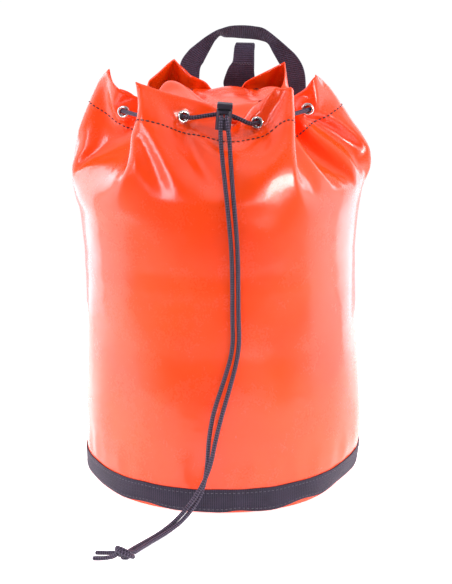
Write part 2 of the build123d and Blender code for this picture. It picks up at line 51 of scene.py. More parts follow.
# ---------------------------------------------------------------- materials
class Shader:
    """A Principled material with a few helpers for procedural detail."""

    def __init__(self, name, color, rough, metallic=0.0, coat=0.0, coat_rough=0.1, sheen=0.0, sheen_rough=0.5, spec=0.5):
        self.mat = bpy.data.materials.new(name)
        self.mat.use_nodes = True
        self.nt = self.mat.node_tree
        self.nt.nodes.clear()
        out = self.nt.nodes.new("ShaderNodeOutputMaterial")
        self.b = self.nt.nodes.new("ShaderNodeBsdfPrincipled")
        self.nt.links.new(self.b.outputs[0], out.inputs[0])
        self.mat.diffuse_color = (*color, 1)
        for key, value in (("Base Color", (*color, 1)), ("Roughness", rough), ("Metallic", metallic), ("Coat Weight", coat),
                           ("Coat Roughness", coat_rough), ("Sheen Weight", sheen), ("Sheen Roughness", sheen_rough),
                           ("Specular IOR Level", spec)):
            self.b.inputs[key].default_value = value

    def put(self, n, i, v):
        if isinstance(v, (int, float)):
            n.inputs[i].default_value = v
        elif isinstance(v, tuple):
            n.inputs[i].default_value = v
        else:
            self.nt.links.new(v, n.inputs[i])

    def math(self, op, a, b=None, c=None, clamp=False):
        n = self.nt.nodes.new("ShaderNodeMath")
        n.operation = op
        n.use_clamp = clamp
        for i, v in enumerate((a, b, c)):
            if v is not None:
                self.put(n, i, v)
        return n.outputs[0]

    def coords(self, which):
        n = self.nt.nodes.new("ShaderNodeTexCoord")
        return n.outputs[which]

    def xyz(self, vec):
        n = self.nt.nodes.new("ShaderNodeSeparateXYZ")
        self.nt.links.new(vec, n.inputs[0])
        return n.outputs[0], n.outputs[1], n.outputs[2]

    def noise(self, vec, scale, detail=3.0, rough=0.5, distortion=0.0):
        n = self.nt.nodes.new("ShaderNodeTexNoise")
        self.nt.links.new(vec, n.inputs["Vector"])
        n.inputs["Scale"].default_value = scale
        n.inputs["Detail"].default_value = detail
        n.inputs["Roughness"].default_value = rough
        n.inputs["Distortion"].default_value = distortion
        return n.outputs[0]

    def scale(self, v, lo, hi, to_lo, to_hi):
        n = self.nt.nodes.new("ShaderNodeMapRange")
        self.put(n, 0, v)
        for i, x in enumerate((lo, hi, to_lo, to_hi)):
            n.inputs[i + 1].default_value = x
        return n.outputs[0]

    def mix(self, fac, a, b):
        n = self.nt.nodes.new("ShaderNodeMix")
        n.data_type = "RGBA"
        self.put(n, 0, fac)
        self.put(n, 6, a if not isinstance(a, tuple) else (*a, 1))
        self.put(n, 7, b if not isinstance(b, tuple) else (*b, 1))
        return n.outputs[2]

    def bump(self, height, dist, strength=1.0, normal=None):
        n = self.nt.nodes.new("ShaderNodeBump")
        n.inputs["Strength"].default_value = strength
        n.inputs["Distance"].default_value = dist
        self.put(n, "Height", height)
        if normal is not None:
            self.nt.links.new(normal, n.inputs["Normal"])
        return n.outputs[0]

    def use(self, key, v):
        self.nt.links.new(v, self.b.inputs[key])


def pvc():
    s = Shader("pvc_coated_fabric", (0.93, 0.062, 0.006), 0.23, coat=0.25, coat_rough=0.08, spec=0.42)
    obj, uv = s.coords("Object"), s.coords("UV")
    x, y, _ = s.xyz(uv)
    # base cloth showing through the coating: a plain grid of threads
    gx = s.math("SINE", s.math("MULTIPLY", x, TAU / 0.0019))
    gy = s.math("SINE", s.math("MULTIPLY", y, TAU / 0.0019))
    grid = s.math("MULTIPLY", gx, gy)
    soft = s.noise(obj, 26.0, 4.0, 0.55)
    fine = s.noise(obj, 420.0, 2.0, 0.6)
    n1 = s.bump(soft, 0.0012, 0.5)
    n2 = s.bump(grid, 0.00003, 0.55, n1)
    n3 = s.bump(fine, 0.00004, 0.4, n2)
    s.use("Normal", n3)
    s.nt.links.new(s.bump(soft, 0.0010, 0.5), s.b.inputs["Coat Normal"])
    tone = s.noise(obj, 9.0, 3.0, 0.5)
    s.use("Base Color", s.mix(s.scale(tone, 0.3, 0.7, 0.0, 1.0), (0.93, 0.050, 0.002), (0.97, 0.068, 0.003)))
    s.use("Roughness", s.math("ADD", s.scale(soft, 0.3, 0.7, 0.19, 0.28), s.scale(fine, 0.3, 0.7, 0.0, 0.04)))
    return s.mat


def webbing(name="webbing_woven", light=1.0):
    s = Shader(name, (0.030, 0.022, 0.037), 0.72, sheen=0.12, sheen_rough=0.4, spec=0.25)
    uv, obj = s.coords("UV"), s.coords("Object")
    x, y, _ = s.xyz(uv)
    rib = s.math("DIVIDE", x, 0.0023)        # along the webbing
    warp = s.math("DIVIDE", y, 0.0017)        # across it
    cell = s.math("FLOOR", warp)
    rib2 = s.math("ADD", s.math("MULTIPLY", rib, 2.0), s.math("MULTIPLY", cell, 0.5))
    a = s.math("ABSOLUTE", s.math("SINE", s.math("MULTIPLY", rib2, math.pi)))
    b = s.math("ABSOLUTE", s.math("SINE", s.math("MULTIPLY", warp, math.pi)))
    weave = s.math("MULTIPLY", s.math("POWER", a, 0.7), s.math("POWER", b, 0.6))
    ribs = s.math("POWER", s.math("ABSOLUTE", s.math("SINE", s.math("MULTIPLY", rib, math.pi))), 0.8)
    fuzz = s.noise(obj, 900.0, 2.0, 0.7)
    n1 = s.bump(ribs, 0.00020, 0.8)
    n2 = s.bump(weave, 0.00022, 0.9, n1)
    n3 = s.bump(fuzz, 0.00006, 0.5, n2)
    s.use("Normal", n3)
    worn = s.noise(obj, 45.0, 3.0, 0.6)
    # painted highlight: the crowns of the ribs and weave are coloured lighter, varied by a random noise, and the light
    # factor scales all of it
    crown_highlight_and_tone = s.math("MULTIPLY", s.math("MULTIPLY", ribs, s.scale(weave, 0.0, 1.0, 0.55, 1.0)), s.scale(worn, 0.3, 0.7, 0.6, 1.0))
    base = s.mix(crown_highlight_and_tone, (0.004 * light, 0.003 * light, 0.007 * light), (0.088 * light, 0.068 * light, 0.125 * light))
    s.use("Base Color", base)
    s.use("Roughness", s.scale(fuzz, 0.3, 0.7, 0.62, 0.85))
    return s.mat


def cord_mat():
    s = Shader("cord_braided", (0.022, 0.016, 0.028), 0.62, sheen=0.1, sheen_rough=0.4, spec=0.25)
    uv, obj = s.coords("UV"), s.coords("Object")
    x, y, _ = s.xyz(uv)                       # x round the cord, y along it
    along = s.math("DIVIDE", y, 0.0026)
    p = s.math("ADD", s.math("MULTIPLY", x, 8.0), along)
    q = s.math("SUBTRACT", s.math("MULTIPLY", x, 8.0), along)
    sp = s.math("ABSOLUTE", s.math("SINE", s.math("MULTIPLY", p, math.pi)))
    sq = s.math("ABSOLUTE", s.math("SINE", s.math("MULTIPLY", q, math.pi)))
    pillow = s.math("POWER", s.math("MULTIPLY", sp, sq), 0.6)
    parity = s.math("MODULO", s.math("ADD", s.math("FLOOR", p), s.math("FLOOR", q)), 2.0)
    parity = s.math("ABSOLUTE", parity)
    yarn = s.math("ABSOLUTE", s.math("SINE", s.math("MULTIPLY", p, math.pi * 3)))
    # painted highlight on the crown of each braid cell, over the real pattern of light and near-black strands
    crown_highlight_and_tone = s.math("MULTIPLY", pillow, s.scale(parity, 0.0, 1.0, 0.10, 1.0))
    base = s.mix(crown_highlight_and_tone, (0.005, 0.003, 0.008), (0.15, 0.12, 0.19))
    s.use("Base Color", base)
    n1 = s.bump(pillow, 0.00030, 0.6)
    n2 = s.bump(yarn, 0.00006, 0.6, n1)
    n3 = s.bump(s.noise(obj, 1200.0, 2.0, 0.7), 0.00005, 0.5, n2)
    s.use("Normal", n3)
    return s.mat


def nickel():
    s = Shader("nickel_plate", (0.78, 0.76, 0.73), 0.2, metallic=1.0)
    obj = s.coords("Object")
    f = s.noise(obj, 700.0, 3.0, 0.6)
    s.use("Roughness", s.scale(f, 0.3, 0.7, 0.13, 0.28))
    s.use("Normal", s.bump(f, 0.00003, 0.4))
    s.use("Base Color", s.mix(s.scale(s.noise(obj, 90.0), 0.35, 0.65, 0.0, 1.0), (0.72, 0.70, 0.67), (0.84, 0.82, 0.79)))
    return s.mat


def plastic():
    s = Shader("lock_moulded", (0.026, 0.020, 0.033), 0.36, spec=0.4)
    obj = s.coords("Object")
    grain = s.noise(obj, 1500.0, 2.0, 0.6)
    s.use("Normal", s.bump(grain, 0.00005, 0.5))
    s.use("Roughness", s.scale(grain, 0.3, 0.7, 0.30, 0.46))
    s.use("Base Color", s.mix(s.scale(s.noise(obj, 60.0), 0.3, 0.7, 0.0, 1.0), (0.020, 0.015, 0.026), (0.032, 0.025, 0.041)))
    return s.mat


def steel():
    s = Shader("spring_wire", (0.6, 0.6, 0.6), 0.25, metallic=1.0)
    f = s.noise(s.coords("Object"), 900.0, 3.0, 0.6)
    s.use("Roughness", s.scale(f, 0.3, 0.7, 0.2, 0.34))
    s.use("Base Color", s.mix(s.scale(f, 0.3, 0.7, 0.0, 1.0), (0.50, 0.50, 0.51), (0.68, 0.68, 0.68)))
    return s.mat


def thread(name, dark, light):
    s = Shader(name, light, 0.6, sheen=0.3, spec=0.4)
    f = s.noise(s.coords("Object"), 1600.0, 2.0, 0.6)
    s.use("Base Color", s.mix(s.scale(f, 0.3, 0.7, 0.0, 1.0), dark, light))
    s.use("Normal", s.bump(f, 0.00008, 0.6))
    return s.mat


PVC, WEB, CORD, NICKEL, PLASTIC, STEEL = pvc(), webbing(), cord_mat(), nickel(), plastic(), steel()
# painted shade: the base band gets a darker copy of the same webbing, at 0.62 of its brightness, to offset the light
# the glowing floor throws on it
WEB_BAND_SHADED = webbing("webbing_band_shaded", 0.62)
THREAD = thread("thread_dark", (0.004, 0.002, 0.003), (0.014, 0.008, 0.010))
THREAD_WEB = thread("thread_grey", (0.05, 0.042, 0.062), (0.11, 0.095, 0.13))


# ---------------------------------------------------------------- mesh helpers
def mesh_object(name, verts, faces, mat, uv=None, wrap=0.0, smooth=True, sharp=None):
    me = bpy.data.meshes.new(name)
    me.from_pydata(np.asarray(verts, float).tolist(), [], [list(map(int, f)) for f in faces])
    me.validate()
    me.update()
    if smooth:
        me.polygons.foreach_set("use_smooth", np.ones(len(me.polygons), bool))
    if uv is not None:
        layer = me.uv_layers.new(name="UVMap")
        idx = np.zeros(len(me.loops), int)
        me.loops.foreach_get("vertex_index", idx)
        c = np.asarray(uv, float)[idx]
        if wrap:
            start = np.zeros(len(me.polygons), int)
            total = np.zeros(len(me.polygons), int)
            me.polygons.foreach_get("loop_start", start)
            me.polygons.foreach_get("loop_total", total)
            face = np.repeat(np.arange(len(start)), total)
            hi = np.full(len(start), -1e9)
            np.maximum.at(hi, face, c[:, 0])
            low = (hi[face] - c[:, 0]) > wrap / 2
            c[low, 0] += wrap
        layer.data.foreach_set("uv", c.ravel())
    me.materials.append(mat)
    ob = bpy.data.objects.new(name, me)
    scene.collection.objects.link(ob)
    if sharp is not None:
        ev = np.zeros(len(me.edges) * 2, int)
        me.edges.foreach_get("vertices", ev)
        ev = ev.reshape(-1, 2)
        keys = set(map(tuple, np.sort(np.array(sharp), 1).tolist()))
        flags = np.array([tuple(sorted(e)) in keys for e in ev.tolist()], bool)
        att = me.attributes.get("sharp_edge") or me.attributes.new("sharp_edge", "BOOLEAN", "EDGE")
        att.data.foreach_set("value", flags)
    return ob


def grid_faces(nu, nv, periodic=False, drop=()):
    drop = set(drop)
    out = []
    for i in range(nu if periodic else nu - 1):
        k = (i + 1) % nu
        for j in range(nv - 1):
            if (i, j) not in drop:
                out.append((i * nv + j, k * nv + j, k * nv + j + 1, i * nv + j + 1))
    return out


def grid_normals(g, periodic=False):
    du = np.roll(g, -1, 0) - np.roll(g, 1, 0) if periodic else np.gradient(g, axis=0)
    n = np.cross(du, np.gradient(g, axis=1))
    return n / (np.linalg.norm(n, axis=-1, keepdims=True) + 1e-12)


def shell(name, v, faces, nrm, thick, mat, uv, lip=0.35, wrap=0.0, crisp=False):
    """A closed sheet: outer vertices v in mm with outward normals, thickened inwards, with a rounded free edge."""
    v = np.asarray(v, float)
    n = len(v)
    t = np.broadcast_to(np.asarray(thick, float), (n,))
    inner = v - nrm * t[:, None]
    edges = set()
    for f in faces:
        for a, b in zip(f, f[1:] + f[:1]):
            edges.add((a, b))
    rim = [e for e in edges if (e[1], e[0]) not in edges]
    rim.sort()
    push = {}
    for a, b in rim:
        o = np.cross(v[b] - v[a], nrm[a])
        o = o / (np.linalg.norm(o) + 1e-12)
        push[a] = push.get(a, 0) + o
        push[b] = push.get(b, 0) + o
    ids = {a: 2 * n + i for i, a in enumerate(sorted(push))}
    mid = np.zeros((len(ids), 3))
    for a, i in ids.items():
        o = push[a] / (np.linalg.norm(push[a]) + 1e-12)
        mid[i - 2 * n] = 0.5 * (v[a] + inner[a]) + o * lip * t[a]
    all_v = np.vstack([v, inner, mid]) * MM
    all_f = list(faces) + [tuple(n + k for k in reversed(f)) for f in faces]
    for a, b in rim:
        all_f.append((b, a, ids[a], ids[b]))
        all_f.append((ids[b], ids[a], n + a, n + b))
    uv = np.asarray(uv, float)
    all_uv = np.vstack([uv, uv, uv[sorted(push)]]) if len(ids) else np.vstack([uv, uv])
    sharp = None
    if crisp:
        sharp = [(a, b) for a, b in rim] + [(n + a, n + b) for a, b in rim]
    return mesh_object(name, all_v, all_f, mat, all_uv, wrap, sharp=sharp)


def slab(name, g, thick, mat, periodic=False, lip=0.35, uv=None, crisp=True):
    """A closed sheet from a grid of points in mm; the first index runs along it."""
    g = np.asarray(g, float)
    nu, nv = g.shape[:2]
    nrm = grid_normals(g, periodic).reshape(-1, 3)
    wrap = 0.0
    if uv is None:
        su = np.zeros((nu, nv))
        su[1:] = np.cumsum(np.linalg.norm(g[1:] - g[:-1], axis=-1).mean(1))[:, None]
        sv = np.zeros((nu, nv))
        sv[:, 1:] = np.cumsum(np.linalg.norm(g[:, 1:] - g[:, :-1], axis=-1), 1)
        uv = np.stack([su, sv], -1) * MM
        if periodic:
            wrap = float(uv[-1, 0, 0] + np.linalg.norm(g[0] - g[-1], axis=-1).mean() * MM)
    return shell(name, g.reshape(-1, 3), grid_faces(nu, nv, periodic), nrm, thick, mat, uv.reshape(-1, 2), lip, wrap, crisp)


def spline(pts, per=8, closed=False):
    """Catmull-Rom curve through points."""
    p = np.asarray(pts, float)
    n = len(p)
    out = []
    last = n if closed else n - 1
    for i in range(last):
        a = p[(i - 1) % n] if (closed or i) else 2 * p[0] - p[1]
        b, c = p[i], p[(i + 1) % n]
        d = p[(i + 2) % n] if (closed or i + 2 < n) else 2 * p[-1] - p[-2]
        for k in range(per):
            t = k / per
            out.append(0.5 * (2 * b + (c - a) * t + (2 * a - 5 * b + 4 * c - d) * t * t + (3 * b - a - 3 * c + d) * t ** 3))
    if not closed:
        out.append(p[-1])
    return np.array(out)


def between(e1, e2, n=9, crown=0.0, normal=None):
    """Grid between two edge lines, n points across, with a slight crown."""
    t = np.linspace(0, 1, n)[None, :, None]
    g = e1[:, None] * (1 - t) + e2[:, None] * t
    if crown:
        g = g + normal * (crown * (1 - (2 * t - 1) ** 2))
    return g


def stitch_mesh(name, dashes, mat, body, half=0.36, up=0.25):
    """dashes: (points along the stitch, normals) in mm; each is a short thread that dips in at both ends."""
    vs, fs, uvs = [], [], []
    for pts, nrm in dashes:
        pts, nrm = np.asarray(pts, float), np.asarray(nrm, float)
        k = len(pts)
        tan = np.gradient(pts, axis=0)
        tan /= np.linalg.norm(tan, axis=1, keepdims=True) + 1e-12
        side = np.cross(tan, nrm)
        side /= np.linalg.norm(side, axis=1, keepdims=True) + 1e-12
        base = len(vs)
        for i in range(k):
            s = i / (k - 1)
            lift = up * (1 - (2 * s - 1) ** 4) - 0.45 * abs(2 * s - 1) ** 6
            rad = half * (1.0 - 0.45 * abs(2 * s - 1) ** 4)
            for m in range(6):
                a = TAU * m / 6
                vs.append(pts[i] + nrm[i] * (lift + 0.75 * rad * math.sin(a)) + side[i] * rad * math.cos(a))
                uvs.append((m / 6, i / k))
        for i in range(k - 1):
            for m in range(6):
                q = (m + 1) % 6
                fs.append((base + i * 6 + m, base + i * 6 + q, base + i * 6 + 6 + q, base + i * 6 + 6 + m))
        fs.append(tuple(base + m for m in reversed(range(6))))
        fs.append(tuple(base + (k - 1) * 6 + m for m in range(6)))
    ob = mesh_object(name, np.array(vs) * MM, fs, mat, uvs)
    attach(ob, body)
    return ob


def dashes_on(line, nrm, pitch=5.0, length=3.4, start=1.0, k=5):
    """Cuts a line with normals into stitches."""
    line, nrm = np.asarray(line, float), np.asarray(nrm, float)
    s = np.concatenate([[0], np.cumsum(np.linalg.norm(np.diff(line, axis=0), axis=1))])
    out = []
    a = start
    while a + length < s[-1] - 0.3:
        t = np.linspace(a, a + length, k)
        p = np.stack([np.interp(t, s, line[:, i]) for i in range(3)], 1)
        m = np.stack([np.interp(t, s, nrm[:, i]) for i in range(3)], 1)
        m /= np.linalg.norm(m, axis=1, keepdims=True)
        out.append((p, m))
        a += pitch
    return out


def finish_piece(ob, body, slot, *nodes):
    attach(ob, body)
    if nodes:
        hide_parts(*nodes)
    return ob


# ---------------------------------------------------------------- camera, floor and light
cam = bpy.data.cameras.new("camera")
cam.sensor_fit = "VERTICAL"
cam.sensor_height = 36.0
cam.sensor_width = 36.0
cam.lens = 114.35
cam.shift_y = 4.0 / 584.0
cam_ob = bpy.data.objects.new("camera", cam)
cam_ob.location = (0.003, -1.95, 0.731)
cam_ob.rotation_euler = (math.radians(90 - 15.4), 0, 0)
scene.collection.objects.link(cam_ob)
scene.camera = cam_ob
scene.view_settings.view_transform = "Standard"

world = bpy.data.worlds.new("studio")
scene.world = world
world.use_nodes = True
_wn = world.node_tree
_bg = _wn.nodes["Background"]
_out = [n for n in _wn.nodes if n.type == "OUTPUT_WORLD"][0]
_bg.inputs[0].default_value = (1.0, 1.0, 1.0, 1)
_bg.inputs[1].default_value = 1.02
# a studio that is bright at the sides and behind, and dimmer in front; the backdrop itself stays white
_env = _wn.nodes.new("ShaderNodeBackground")
_env.inputs[0].default_value = (0.97, 0.93, 1.0, 1)
_tc = _wn.nodes.new("ShaderNodeTexCoord")
_sx = _wn.nodes.new("ShaderNodeSeparateXYZ")
_wn.links.new(_tc.outputs["Generated"], _sx.inputs[0])
_mr = _wn.nodes.new("ShaderNodeMapRange")
_mr.interpolation_type = "SMOOTHSTEP"
_wn.links.new(_sx.outputs[1], _mr.inputs[0])
for _i, _v in enumerate((-0.97, -0.10, 0.14, 0.98)):
    _mr.inputs[_i + 1].default_value = _v
_wn.links.new(_mr.outputs[0], _env.inputs[1])
_lp = _wn.nodes.new("ShaderNodeLightPath")
_mx = _wn.nodes.new("ShaderNodeMixShader")
_wn.links.new(_lp.outputs["Is Camera Ray"], _mx.inputs[0])
_wn.links.new(_env.outputs[0], _mx.inputs[1])
_wn.links.new(_bg.outputs[0], _mx.inputs[2])
_wn.links.new(_mx.outputs[0], _out.inputs[0])


def softbox(name, loc, target, size, power, color=(1, 1, 1), size_y=None, gloss=True, spread=True):
    light = bpy.data.lights.new(name, "AREA")
    light.shape = "RECTANGLE"
    light.size = size
    light.size_y = size_y or size
    light.energy = power
    light.color = color
    ob = bpy.data.objects.new(name, light)
    ob.location = loc
    ob.rotation_euler = (Vector(target) - Vector(loc)).to_track_quat("-Z", "Y").to_euler()
    ob.visible_glossy = gloss
    ob.visible_diffuse = spread
    ob.visible_camera = False
    scene.collection.objects.link(ob)
    return ob


softbox("left_softbox", (-1.25, -0.20, 0.50), (0, 0, 0.22), 0.8, 15.0, (0.96, 0.90, 1.0), size_y=1.1, gloss=False)
softbox("right_softbox", (1.25, -0.15, 0.50), (0, 0, 0.22), 0.8, 15.0, (0.96, 0.90, 1.0), size_y=1.1, gloss=False)
softbox("top_softbox", (0.1, -0.75, 1.7), (0, 0, 0.3), 0.9, 12.0, gloss=False)
softbox("back_softbox", (0.0, 1.5, 1.0), (0, 0, 0.3), 1.2, 10.0, gloss=False)
# what the glossy coating mirrors: bright panels low at both sides, brighter towards the back, and two lamps in front
for _n, _s in (("left", -1), ("right", 1)):
    softbox(_n + "_side_panel", (_s * 1.45, 0.05, 0.20), (0, 0, 0.20), 0.85, 7.5, (0.93, 0.86, 1.0), size_y=1.6, spread=False)
    softbox(_n + "_rear_panel", (_s * 1.02, 0.86, 0.20), (0, 0, 0.20), 0.78, 11.0, (0.93, 0.87, 1.0), size_y=1.4, spread=False)
softbox("right_lamp", (0.876, -1.386, 0.43), (0.06, -0.13, 0.345), 0.27, 13.0, spread=False, size_y=0.36)
softbox("left_lamp", (-0.987, -1.218, 0.824), (-0.07, -0.125, 0.36), 0.28, 5.6, (0.93, 0.86, 1.0), spread=False, size_y=0.42)

floor_mat = Shader("floor_white", (0.96, 0.96, 0.96), 0.9)
floor_mat.use("Base Color", floor_mat.mix(floor_mat.scale(floor_mat.noise(floor_mat.coords("Object"), 3.0), 0.3, 0.7, 0.0, 1.0),
                                          (0.95, 0.95, 0.95), (0.97, 0.97, 0.97)))
floor_mat.b.inputs["Emission Color"].default_value = (1.0, 1.0, 1.0, 1)
floor_mat.b.inputs["Emission Strength"].default_value = 0.8
_ring = [(0.70 * math.cos(TAU * k / 128), 0.70 * math.sin(TAU * k / 128), 0.0) for k in range(128)]
floor = mesh_object("floor", _ring, [tuple(range(128))], floor_mat.mat)

# ---------------------------------------------------------------- drawcord
RING = [(31.7, -92.7, 400.6), (40.3, -81.7, 400.6), (55.6, -73.3, 402.6), (79.6, -49.6, 404.6), (100.0, -16.7, 404.9),
        (93.4, 18.7, 404.0), (54.6, 68.4, 404.2), (6.1, 79.8, 404.5), (-65.2, 64.1, 404.2), (-111.1, 23.3, 403.5),
        (-118.3, -7.1, 402.8), (-86.6, -65.6, 403.6), (-71.2, -78.9, 405.2), (-45.6, -81.9, 407.0), (-36.6, -92.6, 407.0)]
LEAD_L = [(-36.63, -92.58, 407), (-32.13, -97.94, 407), (-16, -97.4, 409.6), (-1.15, -94.8, 411), (-1.45, -105.5, 411), (-1.47, -115.2, 411)]
LEAD_R = [(31.67, -92.72, 400.6), (27.36, -98.24, 400.6), (15.5, -97.6, 406.9), (3.15, -94.8, 411), (3.45, -105.5, 411), (3.47, -115.2, 411)]
TAIL_L = [(-1.47, -115.2, 411), (-1.49, -120.8, 410.9), (-2.2, -124.2, 404.6), (-2.5, -125.4, 393), (-1, -129.6, 374), (2.4, -149, 347),
          (5.6, -161.8, 318), (8.4, -157.6, 285), (9.4, -153.8, 251), (9.3, -152.4, 215), (10.5, -152.8, 180), (0.6, -152.9, 145),
          (-10.5, -156.8, 112), (-15, -158.5, 82), (-16.5, -162, 53), (-22, -171, 29), (-39, -189, 10), (-57.6, -208.4, 2.7),
          (-75.6, -236.4, 2.9), (-86.5, -262, 5.4)]
TAIL_R = [(3.47, -115.2, 411), (3.49, -120.9, 410.9), (4.4, -124.3, 404.4), (6.2, -125.6, 392.4), (7.4, -130.2, 373), (9.5, -150, 345),
          (12.3, -161.4, 316), (14.6, -157.2, 283), (15.2, -153.8, 249), (15.5, -152.5, 215), (16.8, -152.9, 181), (9, -153.2, 146),
          (-0.5, -157.5, 114), (-8, -161.5, 84), (-13.5, -168.5, 56), (-27, -178.5, 31), (-45, -188, 11), (-62, -206, 2.7),
          (-80, -234, 2.9), (-91.5, -258, 5.4)]


def route_line(name, pts):
    """The smooth line of a cord's route, in metres."""
    cu = bpy.data.curves.new(name + "_route", "CURVE")
    cu.dimensions = "3D"
    sp = cu.splines.new("NURBS")
    sp.points.add(len(pts) - 1)
    for p, q in zip(sp.points, pts):
        p.co = (q[0] * MM, q[1] * MM, q[2] * MM, 1.0)
    sp.order_u = 3
    sp.use_endpoint_u = True
    sp.resolution_u = 24
    ob = bpy.data.objects.new(name + "_route", cu)
    scene.collection.objects.link(ob)
    bpy.context.view_layer.update()
    me = bpy.data.meshes.new_from_object(ob)
    line = np.array([v.co[:] for v in me.vertices])
    bpy.data.objects.remove(ob)
    bpy.data.curves.remove(cu)
    bpy.data.meshes.remove(me)
    return line


def braid_tube(line, radius=2.3, ds=0.62, seg=28, cells=8, pitch=2.6, amp=0.26, round_start=False, round_end=False):
    """Braided sheath along a line in metres: vertices, faces and uv, in metres."""
    s = np.concatenate([[0], np.cumsum(np.linalg.norm(np.diff(line, axis=0), axis=1))])
    n = max(8, int(s[-1] / (ds * MM)))
    t = np.linspace(0, s[-1], n)
    p = np.stack([np.interp(t, s, line[:, i]) for i in range(3)], 1)
    for _ in range(2):
        p[1:-1] = 0.25 * p[:-2] + 0.5 * p[1:-1] + 0.25 * p[2:]
    tan = np.gradient(p, axis=0)
    tan /= np.linalg.norm(tan, axis=1, keepdims=True)
    u = np.cross(tan[0], (0.3, 0.2, 0.9))
    u /= np.linalg.norm(u)
    us = []
    for k in tan:
        u = u - k * np.dot(u, k)
        u /= np.linalg.norm(u)
        us.append(u)
    us = np.array(us)
    ws = np.cross(tan, us)
    th = TAU * np.arange(seg) / seg
    along = t / MM
    a = cells * th[None, :] / TAU + along[:, None] / pitch
    b = cells * th[None, :] / TAU - along[:, None] / pitch
    pillow = (np.abs(np.sin(np.pi * a)) * np.abs(np.sin(np.pi * b))) ** 0.5
    r = (radius - amp) + amp * pillow
    cap = np.ones(n)
    e = 1.6
    if round_start:
        cap = np.minimum(cap, np.sqrt(np.clip(1 - (1 - np.clip(along / e, 0, 1)) ** 2, 0.02, 1)))
    if round_end:
        cap = np.minimum(cap, np.sqrt(np.clip(1 - (1 - np.clip((along[-1] - along) / e, 0, 1)) ** 2, 0.02, 1)))
    r = r * cap[:, None] * MM
    v = p[:, None] + r[..., None] * (np.cos(th)[None, :, None] * us[:, None] + np.sin(th)[None, :, None] * ws[:, None])
    faces = []
    for i in range(n - 1):
        for j in range(seg):
            k = (j + 1) % seg
            faces.append((i * seg + j, i * seg + k, i * seg + seg + k, i * seg + seg + j))
    faces.append(tuple(range(seg))[::-1])
    faces.append(tuple((n - 1) * seg + j for j in range(seg)))
    uv = np.zeros((n, seg, 2))
    uv[..., 0] = th[None, :] / TAU
    uv[..., 1] = t[:, None]
    return v.reshape(-1, 3), faces, uv.reshape(-1, 2), p


def cord_object(name, tubes):
    vs, fs, us, base = [], [], [], 0
    for v, f, uv, _ in tubes:
        vs.append(v)
        us.append(uv)
        fs += [tuple(base + i for i in q) for q in f]
        base += len(v)
    return mesh_object(name, np.vstack(vs), fs, CORD, np.vstack(us), wrap=1.0)


ring_line = route_line("ring", RING)
ring = cord_object("drawcord_ring_braid", [braid_tube(ring_line)])
finish_piece(ring, "bag", "cord", "drawcord_ring")
for side, pts in (("left", LEAD_L), ("right", LEAD_R)):
    lead = cord_object("drawcord_lead_%s_braid" % side, [braid_tube(route_line("lead", pts))])
    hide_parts("drawcord_lead_" + side)
    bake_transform(lead)
tails = {}
for side, pts in (("left", TAIL_L), ("right", TAIL_R)):
    tube = braid_tube(route_line("tail", pts))
    tail = cord_object("drawcord_tail_%s_braid" % side, [tube])
    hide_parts("drawcord_tail_" + side)
    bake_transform(tail)
    tails[side] = (tail, tube[3])

# overhand knot tied in both cords, and their two ends
KNOT_C = np.array([-96.0, -277.5, 10.6])
KX = np.array([-0.5, -0.866, 0.0])
KY = np.array([0.866, -0.5, 0.0])
KZ = np.array([0.0, 0.0, 1.0])


def knot_strand(off, start, end_a, end_b):
    t = np.linspace(-1.98, 1.98, 33)
    c = np.stack([(t ** 3 - 3 * t) * 4.2, (t ** 4 - 4 * t ** 2 + 2.0) * 3.7, (t ** 5 / 5 - 2 * t) * 4.5], 1)
    c[:, 0] = np.clip(c[:, 0], -9.4, 9.4)
    tan = np.gradient(c, axis=0)
    tan /= np.linalg.norm(tan, axis=1, keepdims=True)
    side = np.cross(tan, np.array([0.15, 0.45, 0.9]))
    side /= np.linalg.norm(side, axis=1, keepdims=True)
    c = c + side * off
    rad = np.sqrt((c[:, 1] / 9.4) ** 2 + (c[:, 2] / 8.2) ** 2 + (c[:, 0] / 9.8) ** 2)
    c = c / np.maximum(rad, 1.0)[:, None]
    w = KNOT_C + c[:, :1] * KX + c[:, 1:2] * KY + c[:, 2:] * KZ
    pts = [start] + [tuple(q) for q in w[1:-1]] + [end_a, end_b]
    return pts


s1 = knot_strand(2.2, (-86.5, -262, 5.4), (-109, -276.5, 4.6), (-127.5, -270.5, 2.8))
s2 = knot_strand(-2.2, (-91.5, -258, 5.4), (-108, -266.0, 6.2), (-125.5, -259.0, 3.6))
knot = cord_object("drawcord_knot_tied", [braid_tube(route_line("knot", s1), radius=2.25, round_end=True),
                                          braid_tube(route_line("knot", s2), radius=2.25, round_end=True)])
finish_piece(knot, "bag", "cord", "drawcord_knot", "drawcord_ends")
for side in ("left", "right"):
    tail, line = tails[side]

# ---------------------------------------------------------------- the gathered wall
CIRC = 942.0                      # flat width of the wall, mm
PER_F = 16                        # fine columns between eyelets
NU_F, NV_F = 12 * PER_F, 93
DV_F = 4.8
EYE_ROWS = 4                      # fine rows from the rim to the eyelets
# eyelet k: place of the fabric's outer face, and the direction of its panel in plan
EYES = [(-39.84, -88.75, 407.0), (34.75, -88.78, 400.6), (62.0, -67.0, 403.5), (88.01, -35.95, 405.7), (98.4, -8.3, 404.0),
        (73.0, 44.8, 404.0), (35.0, 73.0, 404.5), (-36.0, 70.5, 404.5), (-85.0, 46.5, 404.0), (-116.9, -1.2, 403.0),
        (-103.84, -33.76, 402.6), (-78.0, -73.0, 404.5)]
EYE_DIR = [(88, 25), (75, -22), (-22, 66), (76, -4), (-52, 54), (-5, 72), (-70, -30), (-72, 25), (-26, -73), (-54, -32),
           (86, -21), (-24, -60)]
